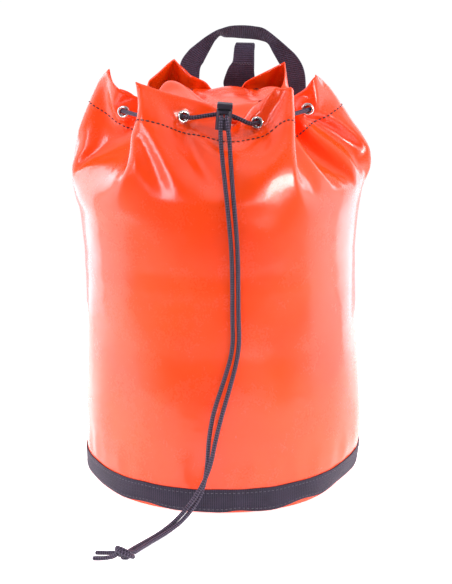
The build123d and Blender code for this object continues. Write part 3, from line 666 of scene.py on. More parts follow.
# folds of the mouth: place round the rim in eyelet spacings, plan at eyelet level, rim point, ridge or valley
FOLDS = [(0.64, (8, -80), (20, -74, 401), 0), (1.27, (60, -101), (55, -95, 443), 1), (1.47, (74, -97), (71, -92, 441), 1),
         (2.48, (50, -33), (45, -31, 412), 0), (3.50, (126, -37), (96, -23, 445), 1), (4.52, (62, 14), (56, 11, 413), 0),
         (5.50, (71, 89), (69, 90, 452), 1), (6.50, (0, 57), (2, 53, 412), 0), (7.40, (-73, 84), (-52, 84, 448), 1),
         (8.57, (-86, 4), (-82, 4, 410), 0), (9.42, (-147, -21), (-115, -17, 450), 1), (10.52, (-62, -43), (-57, -42, 409), 0),
         (11.40, (-91, -104), (-93, -100, 452), 1)]
# points that the ridges pass through on their way down to the round body
RIDGES = [(9.46, 372, (-158, -18, 387), 0.22), (9.42, 405, (-140, -18, 416), 0.10), (3.44, 353, (153, -24, 371), 0.22),
          (3.50, 398, (128, -25, 408), 0.10), (11.02, 344, (-112, -111, 352), 0.12), (11.22, 392, (-103, -106, 399), 0.10),
          (1.57, 342, (84, -130, 347), 0.10), (1.50, 388, (76, -112, 392), 0.08)]


def body_r(z):
    return np.interp(z, [2, 30, 72, 118, 163, 250, 290, 325, 360], [151.2, 151.2, 151.6, 149.0, 146.0, 145.6, 149.0, 153.0, 154.0])


def eye_axes(e):
    """Directions in the panel, along the rim and up, at eyelet e; the gather tilts them."""
    d = np.array([*EYE_DIR[e], 0.0])
    d /= np.linalg.norm(d)
    n = np.array([d[1], -d[0], 0.0])
    s = -1.0 if e % 2 == 0 else 1.0
    a = math.radians(17.0)
    du_v = d * math.cos(a) + np.array([0, 0, s * math.sin(a)])
    up_v = np.cross(n, du_v)
    up_v *= np.sign(up_v[2])
    return du_v, up_v, n


def relax(P, coarse, iters):
    """Settles the gathered fabric: a mesh of near-inextensible threads, held at the eyelets and the round body."""
    NU, NV = P.shape[:2]
    k = 2 if coarse else 1
    per = PER_F // k
    du, dv = CIRC / NU, DV_F * k
    h = np.arange(NV) * dv
    er = NV - 1 - EYE_ROWS // k
    hfix = 230.0
    W = np.ones((NU, NV))
    W[:, h < hfix] = 0.0
    for e in range(12):
        col = e * per
        du_v, up_v, _ = eye_axes(e)
        o = np.array(EYES[e])
        span = (0,) if coarse else (-1, 0, 1)
        for di in span:
            for dj in span:
                c, r = (col + di) % NU, er + dj
                P[c, r] = o + du_v * du * di + up_v * dv * dj
                W[c, r] = 0.0
        if coarse:
            for di, dj in ((-1, 0), (1, 0), (0, -1), (0, 1)):
                c, r = (col + di) % NU, er + dj
                P[c, r] = o + du_v * du * di + up_v * dv * dj
                W[c, r] = 0.0
    gi = np.array([int(round(f[0] * per)) % NU for f in FOLDS])
    gt = np.array([f[2] for f in FOLDS], float)
    gw = np.array([0.6 if f[1][1] > 70 and f[3] else 1.0 for f in FOLDS])[:, None]
    ri = np.array([int(round(q[0] * per)) % NU for q in RIDGES])
    rj = np.array([int(round(q[1] / dv)) for q in RIDGES])
    rt = np.array([q[2] for q in RIDGES], float)
    rw = np.array([q[3] for q in RIDGES])[:, None]
    soft = np.ones(NU)
    for f in FOLDS:
        if f[3]:
            c = int(round(f[0] * per))
            for d in range(-1, 2):
                soft[(c + d) % NU] = 0.15
    j0 = int(hfix / dv) - 6 // k
    Q, Wq, T = P[:, j0:].copy(), W[:, j0:].copy(), P[:, j0:].copy()
    nv, hq = Q.shape[1], h[j0:]
    goal = (np.clip((310 - hq) / 60.0, 0, 1) * 0.10)[None, :, None] * Wq[..., None]
    plans = []

    def plan(si, sj, rest, stiff, every, kc=None):
        step_i, step_j = abs(si), abs(sj)
        for ci in range(2 if si else 1):
            for cj in range(2 if (sj and not si) else 1):
                idx = np.arange(NU)
                if si:
                    idx = idx[(idx // step_i) % 2 == ci]
                jj = np.arange(0, nv - step_j)
                if sj and not si:
                    jj = jj[(jj // step_j) % 2 == cj]
                ia, ib = idx, (idx + si) % NU
                ja, jb = (jj, jj + sj) if sj >= 0 else (jj + step_j, jj)
                A, B = np.ix_(ia, ja), np.ix_(ib, jb)
                wa, wb = Wq[A], Wq[B]
                s = wa + wb
                kk = stiff / np.maximum(s, 1e-6) * (s > 0)
                if kc is not None:
                    kk = kk * kc[(ia + si // 2) % NU][:, None]
                plans.append((A, B, rest, kk * wa, kk * wb, every))

    diag = math.hypot(du, dv)
    plan(1, 0, du, 1.0, 1)
    plan(0, 1, dv, 1.0, 1)
    plan(1, 1, diag, 0.5, 1)
    plan(1, -1, diag, 0.5, 1)
    plan(2, 0, 2 * du, 0.30, 2, soft)
    plan(0, 2, 2 * dv, 0.40, 2)
    if coarse:
        plan(4, 0, 4 * du, 0.02, 2, soft)
        plan(0, 4, 4 * dv, 0.08, 2)
    else:
        plan(4, 0, 4 * du, 0.05, 2, soft)
        plan(0, 4, 4 * dv, 0.15, 2)
        plan(0, 8, 8 * dv, 0.06, 2)
    prev = Q.copy()
    for it in range(iters):
        V = (Q - prev) * (0.88 if it < iters * 0.6 else 0.6)
        prev = Q.copy()
        Q += V * Wq[..., None]
        for A, B, rest, ka, kb, every in plans:
            if it % every:
                continue
            a, b = Q[A], Q[B]
            d = b - a
            L = np.sqrt(np.einsum('ijk,ijk->ij', d, d)) + 1e-9
            f = ((L - rest) / L)[..., None] * d
            Q[A] = a + f * ka[..., None]
            Q[B] = b - f * kb[..., None]
        Q += goal * (T - Q)
        r = np.hypot(Q[..., 0], Q[..., 1])
        z = Q[..., 2]
        f = np.where(r > 160.0, 160.0 / r, 1.0)
        rmin = np.where(z < 330, body_r(z) - 4.0, 0.0)
        f = np.where(r < rmin, rmin / np.maximum(r, 1), f)
        f = np.where(Wq > 0, f, 1.0)
        Q[..., 0] *= f
        Q[..., 1] *= f
        g = 0.25 if it < iters * 0.8 else 0.12
        Q[gi, -1] += g * gw * (gt - Q[gi, -1])
        Q[ri, rj - j0] += rw * (rt - Q[ri, rj - j0])
    P = P.copy()
    P[:, j0:] = Q
    return P


def start_shape():
    k = 2
    per, NU, NV = PER_F // k, NU_F // k, (NV_F - 1) // k + 1
    h = np.arange(NV) * DV_F * k
    u = np.arange(NU)
    ang = np.radians(-105.0 + u * 360.0 / NU)
    cols, A, B, Z = [], [], [], []
    for e in range(12):
        cols.append(e * per)
        x, y, z = EYES[e]
        A.append((x, y))
        B.append((x * 0.93, y * 0.93, z + 18))
        Z.append(z)
    for f in FOLDS:
        cols.append(f[0] * per)
        A.append(f[1])
        B.append(f[2])
        Z.append(424 if f[3] else 389)
    o = np.argsort(cols)
    cols = np.array(cols, float)[o]
    A, B, Z = np.array(A, float)[o], np.array(B, float)[o], np.array(Z, float)[o]
    cw = np.append(cols, cols[0] + NU)

    def it(v):
        return np.interp(u, cw, np.append(v, v[0]))
    e3 = np.stack([it(A[:, 0]), it(A[:, 1]), it(Z)], 1)
    r3 = np.stack([it(B[:, 0]), it(B[:, 1]), it(B[:, 2])], 1)
    P = np.zeros((NU, NV, 3))
    hs, he, H = 322.0, h[-1] - EYE_ROWS * DV_F, h[-1]
    c = np.stack([np.cos(ang), np.sin(ang)], 1)
    for j in range(NV):
        if h[j] <= hs:
            P[:, j, :2] = c * body_r(h[j] + 2)
            P[:, j, 2] = h[j] + 2
        elif h[j] <= he:
            t = (h[j] - hs) / (he - hs)
            s = t ** 1.15
            P[:, j, :2] = c * 153 * (1 - s) + e3[:, :2] * s
            P[:, j, 2] = 324 + t * (e3[:, 2] - 324)
        else:
            t = (h[j] - he) / (H - he)
            P[:, j] = e3 * (1 - t) + r3 * t
    return P


def upsample(P):
    NU, NV = P.shape[:2]
    Q = np.zeros((NU * 2, NV * 2 - 1, 3))
    Q[::2, ::2] = P
    Q[1::2, ::2] = 0.5 * (P + np.roll(P, -1, 0))
    Q[:, 1::2] = 0.5 * (Q[:, 0:-1:2] + Q[:, 2::2])
    return Q


def refine(P):
    """One step of four-point subdivision, which keeps the folds crisp; periodic round the wall."""
    NU, NV = P.shape[:2]
    a = np.zeros((NU * 2, NV, 3))
    a[::2] = P
    a[1::2] = (9 * (P + np.roll(P, -1, 0)) - np.roll(P, 1, 0) - np.roll(P, -2, 0)) / 16
    b = np.zeros((NU * 2, NV * 2 - 1, 3))
    b[:, ::2] = a
    c = np.concatenate([2 * a[:, :1] - a[:, 1:2], a, 2 * a[:, -1:] - a[:, -2:-1]], 1)
    b[:, 1::2] = (9 * (c[:, 1:-2] + c[:, 2:-1]) - c[:, :-3] - c[:, 3:]) / 16
    return b


def sstep(x, a, b):
    t = np.clip((x - a) / (b - a), 0, 1)
    return t * t * (3 - 2 * t)


WALL = relax(upsample(relax(start_shape(), True, 1500)), False, 700)
# settle the last ripples of the mesh, away from the folds and the eyelets
for _ in range(2):
    _lap = (np.roll(WALL, 1, 0) + np.roll(WALL, -1, 0)) / 2 - WALL
    _lv = np.zeros_like(WALL)
    _lv[:, 1:-1] = (WALL[:, :-2] + WALL[:, 2:]) / 2 - WALL[:, 1:-1]
    _sharp = np.linalg.norm(_lap, axis=-1, keepdims=True)
    WALL = WALL + (_lap * 0.5 + _lv * 0.3) * np.exp(-(_sharp / 0.55) ** 2)
WALL = refine(WALL)
NUW, NVW = WALL.shape[:2]
DUW, DVW = CIRC / NUW, DV_F / 2
HW = np.arange(NVW) * DVW
ANG = np.radians(-105.0) + np.arange(NUW) * TAU / NUW
RIM_H = HW[-1]

# the filled body isn't a true cylinder: broad shallow dents and a slack band above the base webbing
_rad = np.hypot(WALL[..., 0], WALL[..., 1])
_th, _z = ANG[:, None], WALL[..., 2]
_w = sstep(_z, 24, 60) * (1 - sstep(_z, 300, 350))
_d = (0.9 * np.sin(3 * _th + 1.1 + _z / 95) + 0.7 * np.sin(5 * _th - 0.4 - _z / 62) + 0.45 * np.sin(8 * _th + 2.0 + _z / 41)
      + 0.35 * np.sin(13 * _th + 0.7 - _z / 33))
_pk = (1 - sstep(_z, 34, 78)) * sstep(_z, 26, 34)
_d2 = 0.35 * np.sin(23 * _th + 0.6) + 0.3 * np.sin(37 * _th + 1.9)
_f = 1 + (_w * _d + _pk * _d2 - 0.6 * _w) / np.maximum(_rad, 1)
WALL[..., 0] *= _f
WALL[..., 1] *= _f


def settle(p):
    """The lower edge of the loaded bag is drawn in and lifted at the right, and a little at the left."""
    p = np.array(p, float)
    th = np.degrees(np.arctan2(p[..., 1], p[..., 0]))
    r = np.hypot(p[..., 0], p[..., 1])
    a = (11.0 * np.exp(-(((th + 24 + 180) % 360 - 180) / 24.0) ** 2)
         + 4.5 * np.exp(-(((th + 157 + 180) % 360 - 180) / 18.0) ** 2))
    f = np.clip(1 - p[..., 2] / 48.0, 0, 1) ** 1.3 * sstep(r, 90, 150)
    k = 1 - a * f / np.maximum(r, 1)
    p[..., 0] *= k
    p[..., 1] *= k
    p[..., 2] += 0.30 * a * f * sstep(r, 120, 148)
    return p


WALL = settle(WALL)
# the load has settled a little to one side
WALL[..., 0] -= 4.6 * sstep(_z, 70, 312) * (1 - sstep(_z, 314, 372))

# the body under the gather has no upright ripples
_rad = np.hypot(WALL[..., 0], WALL[..., 1])
_k = np.arange(-40, 41)
_g = np.exp(-(_k * DUW / 26.0) ** 2)
_g /= _g.sum()
_low = sum(w * np.roll(_rad, int(k), 0) for k, w in zip(_k, _g))
_w = sstep(WALL[..., 2], 205, 238) * (1 - sstep(WALL[..., 2], 306, 344))
_f = 1 + _w * (_low - _rad) / np.maximum(_rad, 1)
WALL[..., 0] *= _f
WALL[..., 1] *= _f

# the points that the folds were led by are rounded off
_uu = np.arange(NUW)[:, None] * DUW
_hh = HW[None, :]
_soft = np.zeros((NUW, NVW))
for _c, _h, _, _ in RIDGES:
    _du = (_uu - _c * CIRC / 12 + CIRC / 2) % CIRC - CIRC / 2
    _soft = np.maximum(_soft, np.exp(-(_du / 11.0) ** 2 - ((_hh - _h) / 15.0) ** 2))
for _ in range(14):
    _m = (np.roll(WALL, 1, 0) + np.roll(WALL, -1, 0)) / 4 + WALL / 2
    _m[:, 1:-1] = _m[:, 1:-1] / 2 + (WALL[:, :-2] + WALL[:, 2:]) / 4
    WALL = WALL + (_m - WALL) * (_soft * 0.7)[..., None]

# how the mouth was left: each ridge and valley pulled to where it stands
# place round the rim in eyelet spacings, height up the fabric, move, reach round and down
PULLS = [(11.40, 440, (-3.2, 0.0, 4.2), 15, 60), (9.42, 440, (1.4, 0.0, 4.8), 20, 34), (9.72, 440, (0.0, 0.0, 5.0), 18, 26), (7.40, 440, (1.0, -1.0, 7.2), 24, 34),
         (5.50, 440, (0.5, 0.0, 2.8), 22, 30), (3.50, 440, (-7.4, 0.0, 0.4), 24, 34), (3.28, 440, (-1.0, 0.0, 6.5), 13, 22), (1.27, 440, (5.0, 0.0, 6.8), 9, 30),
         (1.47, 440, (1.8, 0.0, 1.6), 9, 40), (1.42, 405, (0.0, 0.0, 4.0), 14, 26), (0.62, 440, (0.0, 0.5, -7.5), 17, 22),
         (0.50, 405, (0.0, 0.0, -4.4), 26, 26), (0.48, 392, (0.0, 3.6, 0.0), 17, 20), (3.35, 350, (9.0, 0.0, 0.0), 46, 36), (9.50, 352, (-1.0, 0.0, 0.0), 46, 26)]
_keep = np.ones((NUW, NVW))
for e in range(12):
    _du = (_uu - e * CIRC / 12 + CIRC / 2) % CIRC - CIRC / 2
    _keep = np.minimum(_keep, sstep(np.hypot(_du, _hh - HW[(NV_F - 1 - EYE_ROWS) * 2]), 8.0, 24.0))
for _c, _h, _mv, _su, _sh in PULLS:
    _du = (_uu - _c * CIRC / 12 + CIRC / 2) % CIRC - CIRC / 2
    WALL = WALL + (np.exp(-(_du / _su) ** 2 - ((_hh - _h) / _sh) ** 2) * _keep)[..., None] * np.array(_mv)

# flat, square to the metal, and pierced round each eyelet
HOLES, EYE_ROW = [], (NV_F - 1 - EYE_ROWS) * 2
for e in range(12):
    du_v, up_v, n_v = eye_axes(e)
    o = np.array(EYES[e])
    ci = e * PER_F * 2
    for di in range(-7, 8):
        for dj in range(-7, 8):
            i, j = (ci + di) % NUW, EYE_ROW + dj
            if j >= NVW:
                continue
            a, b = di * DUW, dj * DVW
            rho = math.hypot(a, b)
            m = max(abs(di), abs(dj))
            want = {0: 0.0, 1: 2.3, 2: 4.7, 3: 7.2}.get(m)
            if want is not None and rho > 0:
                k = want / rho
                a, b = a * k, b * k
            w = 1 - float(sstep(np.array(rho), 7.6, 14.0))
            WALL[i, j] = (o + du_v * a + up_v * b) * w + WALL[i, j] * (1 - w)
            if -2 <= di < 2 and -2 <= dj < 2:
                HOLES.append(((ci + di) % NUW, EYE_ROW + dj))

# the stitch line of the hem draws the fabric in a little
STITCH_H = RIM_H - 36.0
WALL_N = grid_normals(WALL, True)
WALL = WALL - WALL_N * (0.45 * np.exp(-((HW - STITCH_H) / 1.9) ** 2))[None, :, None] * 1.0
WALL_N = grid_normals(WALL, True)
thick = np.where(HW > STITCH_H - 2.0, 1.35, 0.75)
thick = np.broadcast_to(thick[None, :], (NUW, NVW)).reshape(-1)
wall_uv = np.stack(np.broadcast_arrays((np.arange(NUW) * DUW * MM)[:, None], (HW * MM)[None, :]), -1)
wall = shell("bag_wall_fabric", WALL.reshape(-1, 3), grid_faces(NUW, NVW, True, HOLES), WALL_N.reshape(-1, 3), thick, PVC,
             wall_uv.reshape(-1, 2), lip=0.30, wrap=CIRC * MM)
finish_piece(wall, "bag", "pvc_fabric", "bag_wall")


def wall_at(u, h):
    """Point and normal of the wall's outer face at distance u round it and h up from the hem."""
    i, j = (u % CIRC) / DUW, min(h / DVW, NVW - 1.001)
    i0, j0 = int(i), int(j)
    fi, fj = i - i0, j - j0
    i1 = (i0 + 1) % NUW
    i0 = i0 % NUW
    out = []
    for g in (WALL, WALL_N):
        out.append((g[i0, j0] * (1 - fi) + g[i1, j0] * fi) * (1 - fj) + (g[i0, j0 + 1] * (1 - fi) + g[i1, j0 + 1] * fi) * fj)
    return out[0], out[1] / np.linalg.norm(out[1])


dashes = []
count = 188
for k in range(count):
    u0 = k * CIRC / count
    pts, nrm = zip(*[wall_at(u0 + 4.0 * q / 4.0, STITCH_H) for q in range(5)])
    dashes.append((pts, nrm))
stitch_mesh("hem_stitching", dashes, THREAD, "bag", half=0.66, up=0.55)

# side seam of the wall, at the back: a lapped edge
SEAM_U = CIRC * 0.515
line, nrm = zip(*[wall_at(SEAM_U, h) for h in np.arange(30, 300, 3.0)])
seam_line, seam_nrm = np.array(line), np.array(nrm)
edge = []
for off, lift in ((-9.0, 0.15), (-8.2, 0.75), (0.0, 0.85), (8.2, 0.75), (9.0, 0.15)):
    row = []
    for h in np.arange(28, 306, 4.0):
        p, n = wall_at(SEAM_U + off, h)
        row.append(p + n * lift)
    edge.append(row)
lap = slab("side_seam_tape", np.array(edge).transpose(1, 0, 2)[::-1], 0.5, PVC)
finish_piece(lap, "bag", "pvc_fabric")
rows = []
for off in (-6.5, 6.5):
    pn = [wall_at(SEAM_U + off, h) for h in np.arange(30, 304, 2.5)]
    rows += dashes_on([p + n * 0.9 for p, n in pn], [n for _, n in pn])
stitch_mesh("side_seam_stitching", rows, THREAD, "bag", half=0.4, up=0.3)

# ---------------------------------------------------------------- base panel
nr, na = 26, 192
rr = np.concatenate([np.linspace(2.0, 143.0, 18), [146.2, 148.3, 149.6, 150.3, 150.5, 150.4, 150.2, 149.9]])
zz = np.concatenate([np.full(18, 0.35), [0.55, 1.1, 2.1, 3.6, 5.6, 9.0, 15.0, 24.0]])
g = np.zeros((na, nr, 3))
for i in range(na):
    a = TAU * i / na
    wave = 0.5 + 0.5 * math.sin(5 * a + 0.7) * math.sin(3 * a + 2.0)
    g[i, :, 0] = rr * math.cos(a)
    g[i, :, 1] = rr * math.sin(a)
    g[i, :, 2] = zz + np.where((rr > 20) & (rr < 143), 0.55 * wave * np.sin(rr / 19.0) ** 2, 0.0)
g = settle(g)
nrm = -grid_normals(g, True)
flipped = [tuple(reversed(f)) for f in grid_faces(na, nr, True)]
cent = len(g.reshape(-1, 3))
v = np.vstack([g.reshape(-1, 3), [[0, 0, 0.35]]])
nn = np.vstack([nrm.reshape(-1, 3), [[0, 0, -1]]])
if nn[0][2] > 0:
    nn[:-1] *= -1
for i in range(na):
    flipped.append((cent, i * nr, ((i + 1) % na) * nr)[::-1])
base = shell("base_panel_fabric", v, flipped, nn, 0.8, PVC, v[:, :2] * MM, lip=0.3)
finish_piece(base, "bag", "pvc_fabric", "base_panel")

# ---------------------------------------------------------------- base webbing band
nb, mb = 384, 11
g = np.zeros((nb, mb, 3))
for i in range(nb):
    a = TAU * i / nb
    top = 27.2 + 2.0 * math.cos(a) + 0.5 * math.sin(2 * a + 0.4) + 0.25 * math.sin(11 * a) + 0.18 * math.sin(23 * a + 1.0)
    dip = math.exp(-((math.degrees(a) - 238) / 9.0) ** 2) * 3.0 + math.exp(-((math.degrees(a) - 276) / 4.5) ** 2) * 2.0
    dip += math.exp(-((math.degrees(a) - 330) / 8.0) ** 2) * 1.6 + math.exp(-((math.degrees(a) - 120) / 10.0) ** 2) * 2.2
    dip += math.exp(-((math.degrees(a) - 304) / 9.0) ** 2) * 4.4
    low = 2.0 + dip + 0.4 * math.sin(7 * a + 0.3) + 0.3 * math.sin(17 * a)
    low = max(low, 1.3)
    for j in range(mb):
        t = j / (mb - 1)
        z = low + (top - low) * t
        r = 152.45 + 0.25 * math.sin(math.pi * t) + 0.18 * math.sin(9 * a + 3 * t) * math.sin(math.pi * t)
        if t < 0.12:
            r -= 0.45 * (1 - t / 0.12)
        g[i, j] = (r * math.cos(a), r * math.sin(a), z)
g = settle(g)
band = slab("base_band_webbing", g, 1.05, WEB_BAND_SHADED, periodic=True, lip=0.4)
finish_piece(band, "bag", "webbing", "base_band")
BAND_N = grid_normals(g, True)
rows = []
for jrow in (1.4, mb - 2.4):
    j0 = int(jrow)
    f = jrow - j0
    ln = g[:, j0] * (1 - f) + g[:, j0 + 1] * f
    nm = BAND_N[:, j0]
    rows += dashes_on(np.vstack([ln, ln[:1]]), np.vstack([nm, nm[:1]]), pitch=4.6, length=3.1)
stitch_mesh("base_band_stitching", rows, THREAD_WEB, "bag", half=0.34, up=0.25)

# ---------------------------------------------------------------- grab handle
AX = np.array([0.9867, -0.1624, 0.0])
AX /= np.linalg.norm(AX)
BN = np.array([0.1624, 0.9867, 0.0])
BN /= np.linalg.norm(BN)
UPZ = np.array([0.0, 0.0, 1.0])
H0 = np.array([23.7, 145.6, 323.0])
HUP = np.array([24.0, 119.0, 475.0]) - H0
HUP /= np.linalg.norm(HUP)
HN = np.cross(AX, HUP)
HN /= np.linalg.norm(HN)
HY = np.cross(HN, AX)
OUTER = [(-70, 0.5), (-70, 20), (-70, 48), (-70.5, 80), (-70.1, 105), (-61, 120.3), (-50.8, 129.4), (-41, 137), (-33.1, 142.4), (-27, 146),
         (-21.9, 148.4), (-10.7, 152.1), (3.9, 153.2), (16.1, 152.2), (27, 149.4), (40.2, 139), (52.2, 128), (61.8, 118.1), (69, 105),
         (71.6, 88), (71, 60), (70, 25), (70, 0.5)]
INNER = [(-50, 0.5), (-50, 20), (-50, 46), (-50, 78), (-48.5, 100), (-44, 109), (-39, 118.5), (-34.5, 126.5), (-30.9, 132.4), (-25.0, 138.2),
         (-19.5, 136.9), (-10, 137.0), (1.5, 136.2), (12, 135.6), (21.5, 134), (29.5, 130.8), (35.5, 121), (41, 112), (47, 101),
         (50.5, 85), (50, 58), (50, 25), (50, 0.5)]
# how far each edge stands behind the handle's plane: the webbing turns over at the left shoulder and leans at the top
BACK_O = [0, 0, 0, 0, 0, 0, 0.5, 1, 1, -0.5, -2.0, -3.0, -3.5, -3.2, -2.5, -1.5, -0.5, 0, 0, 0, 0, 0, 0]
BACK_I = [0, 0, 0, 0, 0, 0.5, 2.0, 4.0, 6.0, 7.0, 6.0, 5.0, 5.0, 5.2, 5.5, 5.0, 3.0, 1.0, 0.2, 0, 0, 0, 0]


def on_handle(ab, back):
    ab = np.asarray(ab, float)
    return H0 + ab[:, :1] * AX + ab[:, 1:2] * HY - np.asarray(back, float)[:, None] * HN


eo, ei = spline(on_handle(OUTER, BACK_O), 7), spline(on_handle(INNER, BACK_I), 7)
g = between(eo, ei, 11)
nrm_h = grid_normals(g)
flip = nrm_h[10, 5] @ HN < 0
if flip:
    g = g[:, ::-1]
    nrm_h = grid_normals(g)
mid = 0.5
g = g + nrm_h * 0.75
handle = slab("grab_handle_webbing", g, 1.5, WEB, lip=0.4)
finish_piece(handle, "handle", "webbing", "grab_handle")

# its sewn ends: the webbing lies on the wall, with a box and a cross of stitches
rows = []
ends = []
for s in (-60, 60):
    base_p = H0 + AX * s
    gg = np.zeros((15, 9, 3))
    for i in range(15):
        z = 286.5 + i * (322.0 - 286.5) / 14
        for j in range(9):
            w = (j / 8 - 0.5) * 20.0
            q = base_p + AX * w
            rad = 154.9 if 1 <= i else 154.6
            d = q[:2] / np.linalg.norm(q[:2])
            along = q[:2] @ AX[:2]
            # radius along the cylinder at the same sideways distance
            c = math.sqrt(rad * rad - along * along)
            gg[i, j] = (*(AX[:2] * along + BN[:2] * c), z)
    if (grid_normals(gg)[7, 4] @ BN) < 0:
        gg = gg[:, ::-1]
    ends.append(gg)
    nn = grid_normals(gg)

    def spot(a, b, gg=gg, nn=nn):
        i, j = a * 14, b * 8
        i0, j0 = min(int(i), 13), min(int(j), 7)
        fi, fj = i - i0, j - j0
        p = (gg[i0, j0] * (1 - fi) + gg[i0 + 1, j0] * fi) * (1 - fj) + (gg[i0, j0 + 1] * (1 - fi) + gg[i0 + 1, j0 + 1] * fi) * fj
        return p, nn[i0, j0]
    box = [((0.08, 0.12), (0.08, 0.88)), ((0.08, 0.88), (0.92, 0.88)), ((0.92, 0.88), (0.92, 0.12)), ((0.92, 0.12), (0.08, 0.12)),
           ((0.08, 0.12), (0.92, 0.88)), ((0.08, 0.88), (0.92, 0.12))]
    for (a0, b0), (a1, b1) in box:
        pn = [spot(a0 + (a1 - a0) * t, b0 + (b1 - b0) * t) for t in np.linspace(0, 1, 24)]
        rows += dashes_on([p for p, _ in pn], [n for _, n in pn], pitch=3.6, length=2.4, start=0.4, k=4)
for k, gg in enumerate(ends):
    e = slab("handle_sewn_end_%d" % (k + 1), gg, 1.45, WEB, lip=0.4)
    finish_piece(e, "bag", "webbing", *(["handle_ends"] if k == 0 else []))
stitch_mesh("handle_end_stitching", rows, THREAD_WEB, "bag", half=0.36, up=0.3)

# ---------------------------------------------------------------- yoke and hang loop
BACKP = np.array([22.0, 95.0, 0.0])


def on_back_plane(a, z, b):
    return BACKP + AX * a + UPZ * z + BN * b


gy = np.zeros((12, 13, 3))
for i in range(12):
    z = 377.3 + i * (403.9 - 377.3) / 11
    for j in range(13):
        a = (j / 12 - 0.5) * 43.4
        gy[i, j] = on_back_plane(a, z, 1.5 + 0.15 * math.sin(a / 5.0))
if grid_normals(gy)[5, 5] @ BN < 0:
    gy = gy[:, ::-1]
yoke = slab("back_yoke_webbing", gy, 3.2, WEB, lip=0.3)
finish_piece(yoke, "bag", "webbing", "back_yoke")
rows = []
ny = grid_normals(gy)
for i, j0, j1 in ((1, 0.6, 11.4), (10, 0.6, 11.4)):
    pn = [gy[i, int(j)] * (1 - (j % 1)) + gy[i, min(int(j) + 1, 12)] * (j % 1) for j in np.linspace(j0, j1, 40)]
    rows += dashes_on(pn, [ny[i, 6]] * 40, pitch=3.8, length=2.6, k=4)
stitch_mesh("yoke_stitching", rows, THREAD_WEB, "bag", half=0.36, up=0.3)

# left edge, right edge, height, depth behind the loop's middle: up the front, over, and down the back
LOOP = [(-20.5, 13.5, 406.9, -1.6), (-21.5, 13.4, 412, -2.2), (-19.6, 13.0, 419, -4.2), (-15.0, 12.4, 430, -6.6), (-10.4, 12.3, 437, -7.2),
        (-9.3, 12.4, 446.5, -6.2), (-8.8, 12.9, 453, -4.4), (-7.8, 12.6, 456.5, -2.2), (-7.4, 11.6, 457.5, 0.3), (-8.6, 11.4, 455.6, 2.8),
        (-10.0, 11.2, 449.5, 5.4), (-11, 11, 438, 6.9), (-11, 11, 427, 5.9), (-11, 11, 416, 3.0), (-11, 11, 406.9, 1.7)]
le = spline([on_back_plane(a, z, b) for a, _, z, b in LOOP], 6)
re = spline([on_back_plane(a, z, b) for _, a, z, b in LOOP], 6)
gl = between(le, re, 10)
nl = grid_normals(gl)
if nl[4, 5] @ BN > 0:
    gl = gl[:, ::-1]
    nl = grid_normals(gl)
loop = slab("hang_loop_webbing", gl, 1.5, WEB, lip=0.4)
finish_piece(loop, "loop", "webbing", "hang_loop")
rows = []
for i in (22, 41):
    rows += dashes_on(gl[i], nl[i], pitch=3.0, length=2.1, start=0.8, k=4)
    rows += dashes_on(gl[i + 1], nl[i + 1], pitch=3.0, length=2.1, start=2.0, k=4)
stitch_mesh("hang_loop_stitching", rows, THREAD_WEB, "loop", half=0.36, up=0.3)

# ---------------------------------------------------------------- storm flap
FLAP = [(-26, 50), (-52, 34), (-72, 6), (-60, -18), (-47, -42), (-36, -66), (0, -68), (30, -70), (36, -44), (40, -22), (56, -12),
        (66, 12), (54, 36), (26, 50)]
FC = np.array([-2.0, -4.0])


def bell(x, y, cx, cy, sx, sy, rot=0.0):
    c, s = math.cos(rot), math.sin(rot)
    u, v = (x - cx) * c + (y - cy) * s, -(x - cx) * s + (y - cy) * c
    return np.exp(-(u / sx) ** 2 - (v / sy) ** 2)


def crease(x, y, a, b, width):
    ax, ay, bx, by = *a, *b
    dx, dy = bx - ax, by - ay
    t = np.clip(((x - ax) * dx + (y - ay) * dy) / (dx * dx + dy * dy), 0, 1)
    d = np.hypot(x - ax - t * dx, y - ay - t * dy)
    return np.exp(-(d / width) ** 2)


def flap_height(x, y):
    z = 412.3 + 0 * x
    z = z + 14.5 * bell(x, y, -58, 24, 15, 26, 0.85)          # left lobe
    z = z + 5.0 * bell(x, y, -44, -6, 16, 22)
    z = z + 6.6 * bell(x, y, 8, 32, 22, 26)                   # dome in the middle
    z = z + 3.0 * bell(x, y, 20, -12, 26, 24)
    z = z + 7.5 * bell(x, y, 50, 22, 13, 24, -0.5)            # right lobe
    z = z - 5.2 * crease(x, y, (-44, 52), (-24, 6), 4.5)      # folds between them
    z = z - 3.6 * crease(x, y, (-24, 6), (-4, -48), 5.0)
    z = z - 2.6 * crease(x, y, (30, 50), (32, -6), 3.6)
    z = z + 1.2 * np.sin(x / 7.0 + y / 16.0) * np.exp(-((y + 40) / 26.0) ** 2)
    z = z + 2.2 * crease(x, y, (38, -40), (64, -4), 3.0)      # curled rim at the right
    z = z - 11.0 * sstep(-y, 44, 68) * np.exp(-((x - 8) / 34.0) ** 4)  # tucked down behind the front of the mouth
    hinge = sstep(y, 36, 50)                                  # flat where it is sewn
    return z * (1 - hinge) + (412.2 + 3.2 * np.exp(-((x - 6) / 20.0) ** 2) * (1 - sstep(y, 46, 52))) * hinge


out = spline(FLAP, 10, closed=True)
nf, mf = len(out), 26
g = np.zeros((nf, mf, 3))
for j in range(mf):
    t = 0.04 + 0.96 * (j / (mf - 1)) ** 0.9
    g[:, j, :2] = FC + (out[:, :2] - FC) * t
g[..., 2] = flap_height(g[..., 0], g[..., 1])
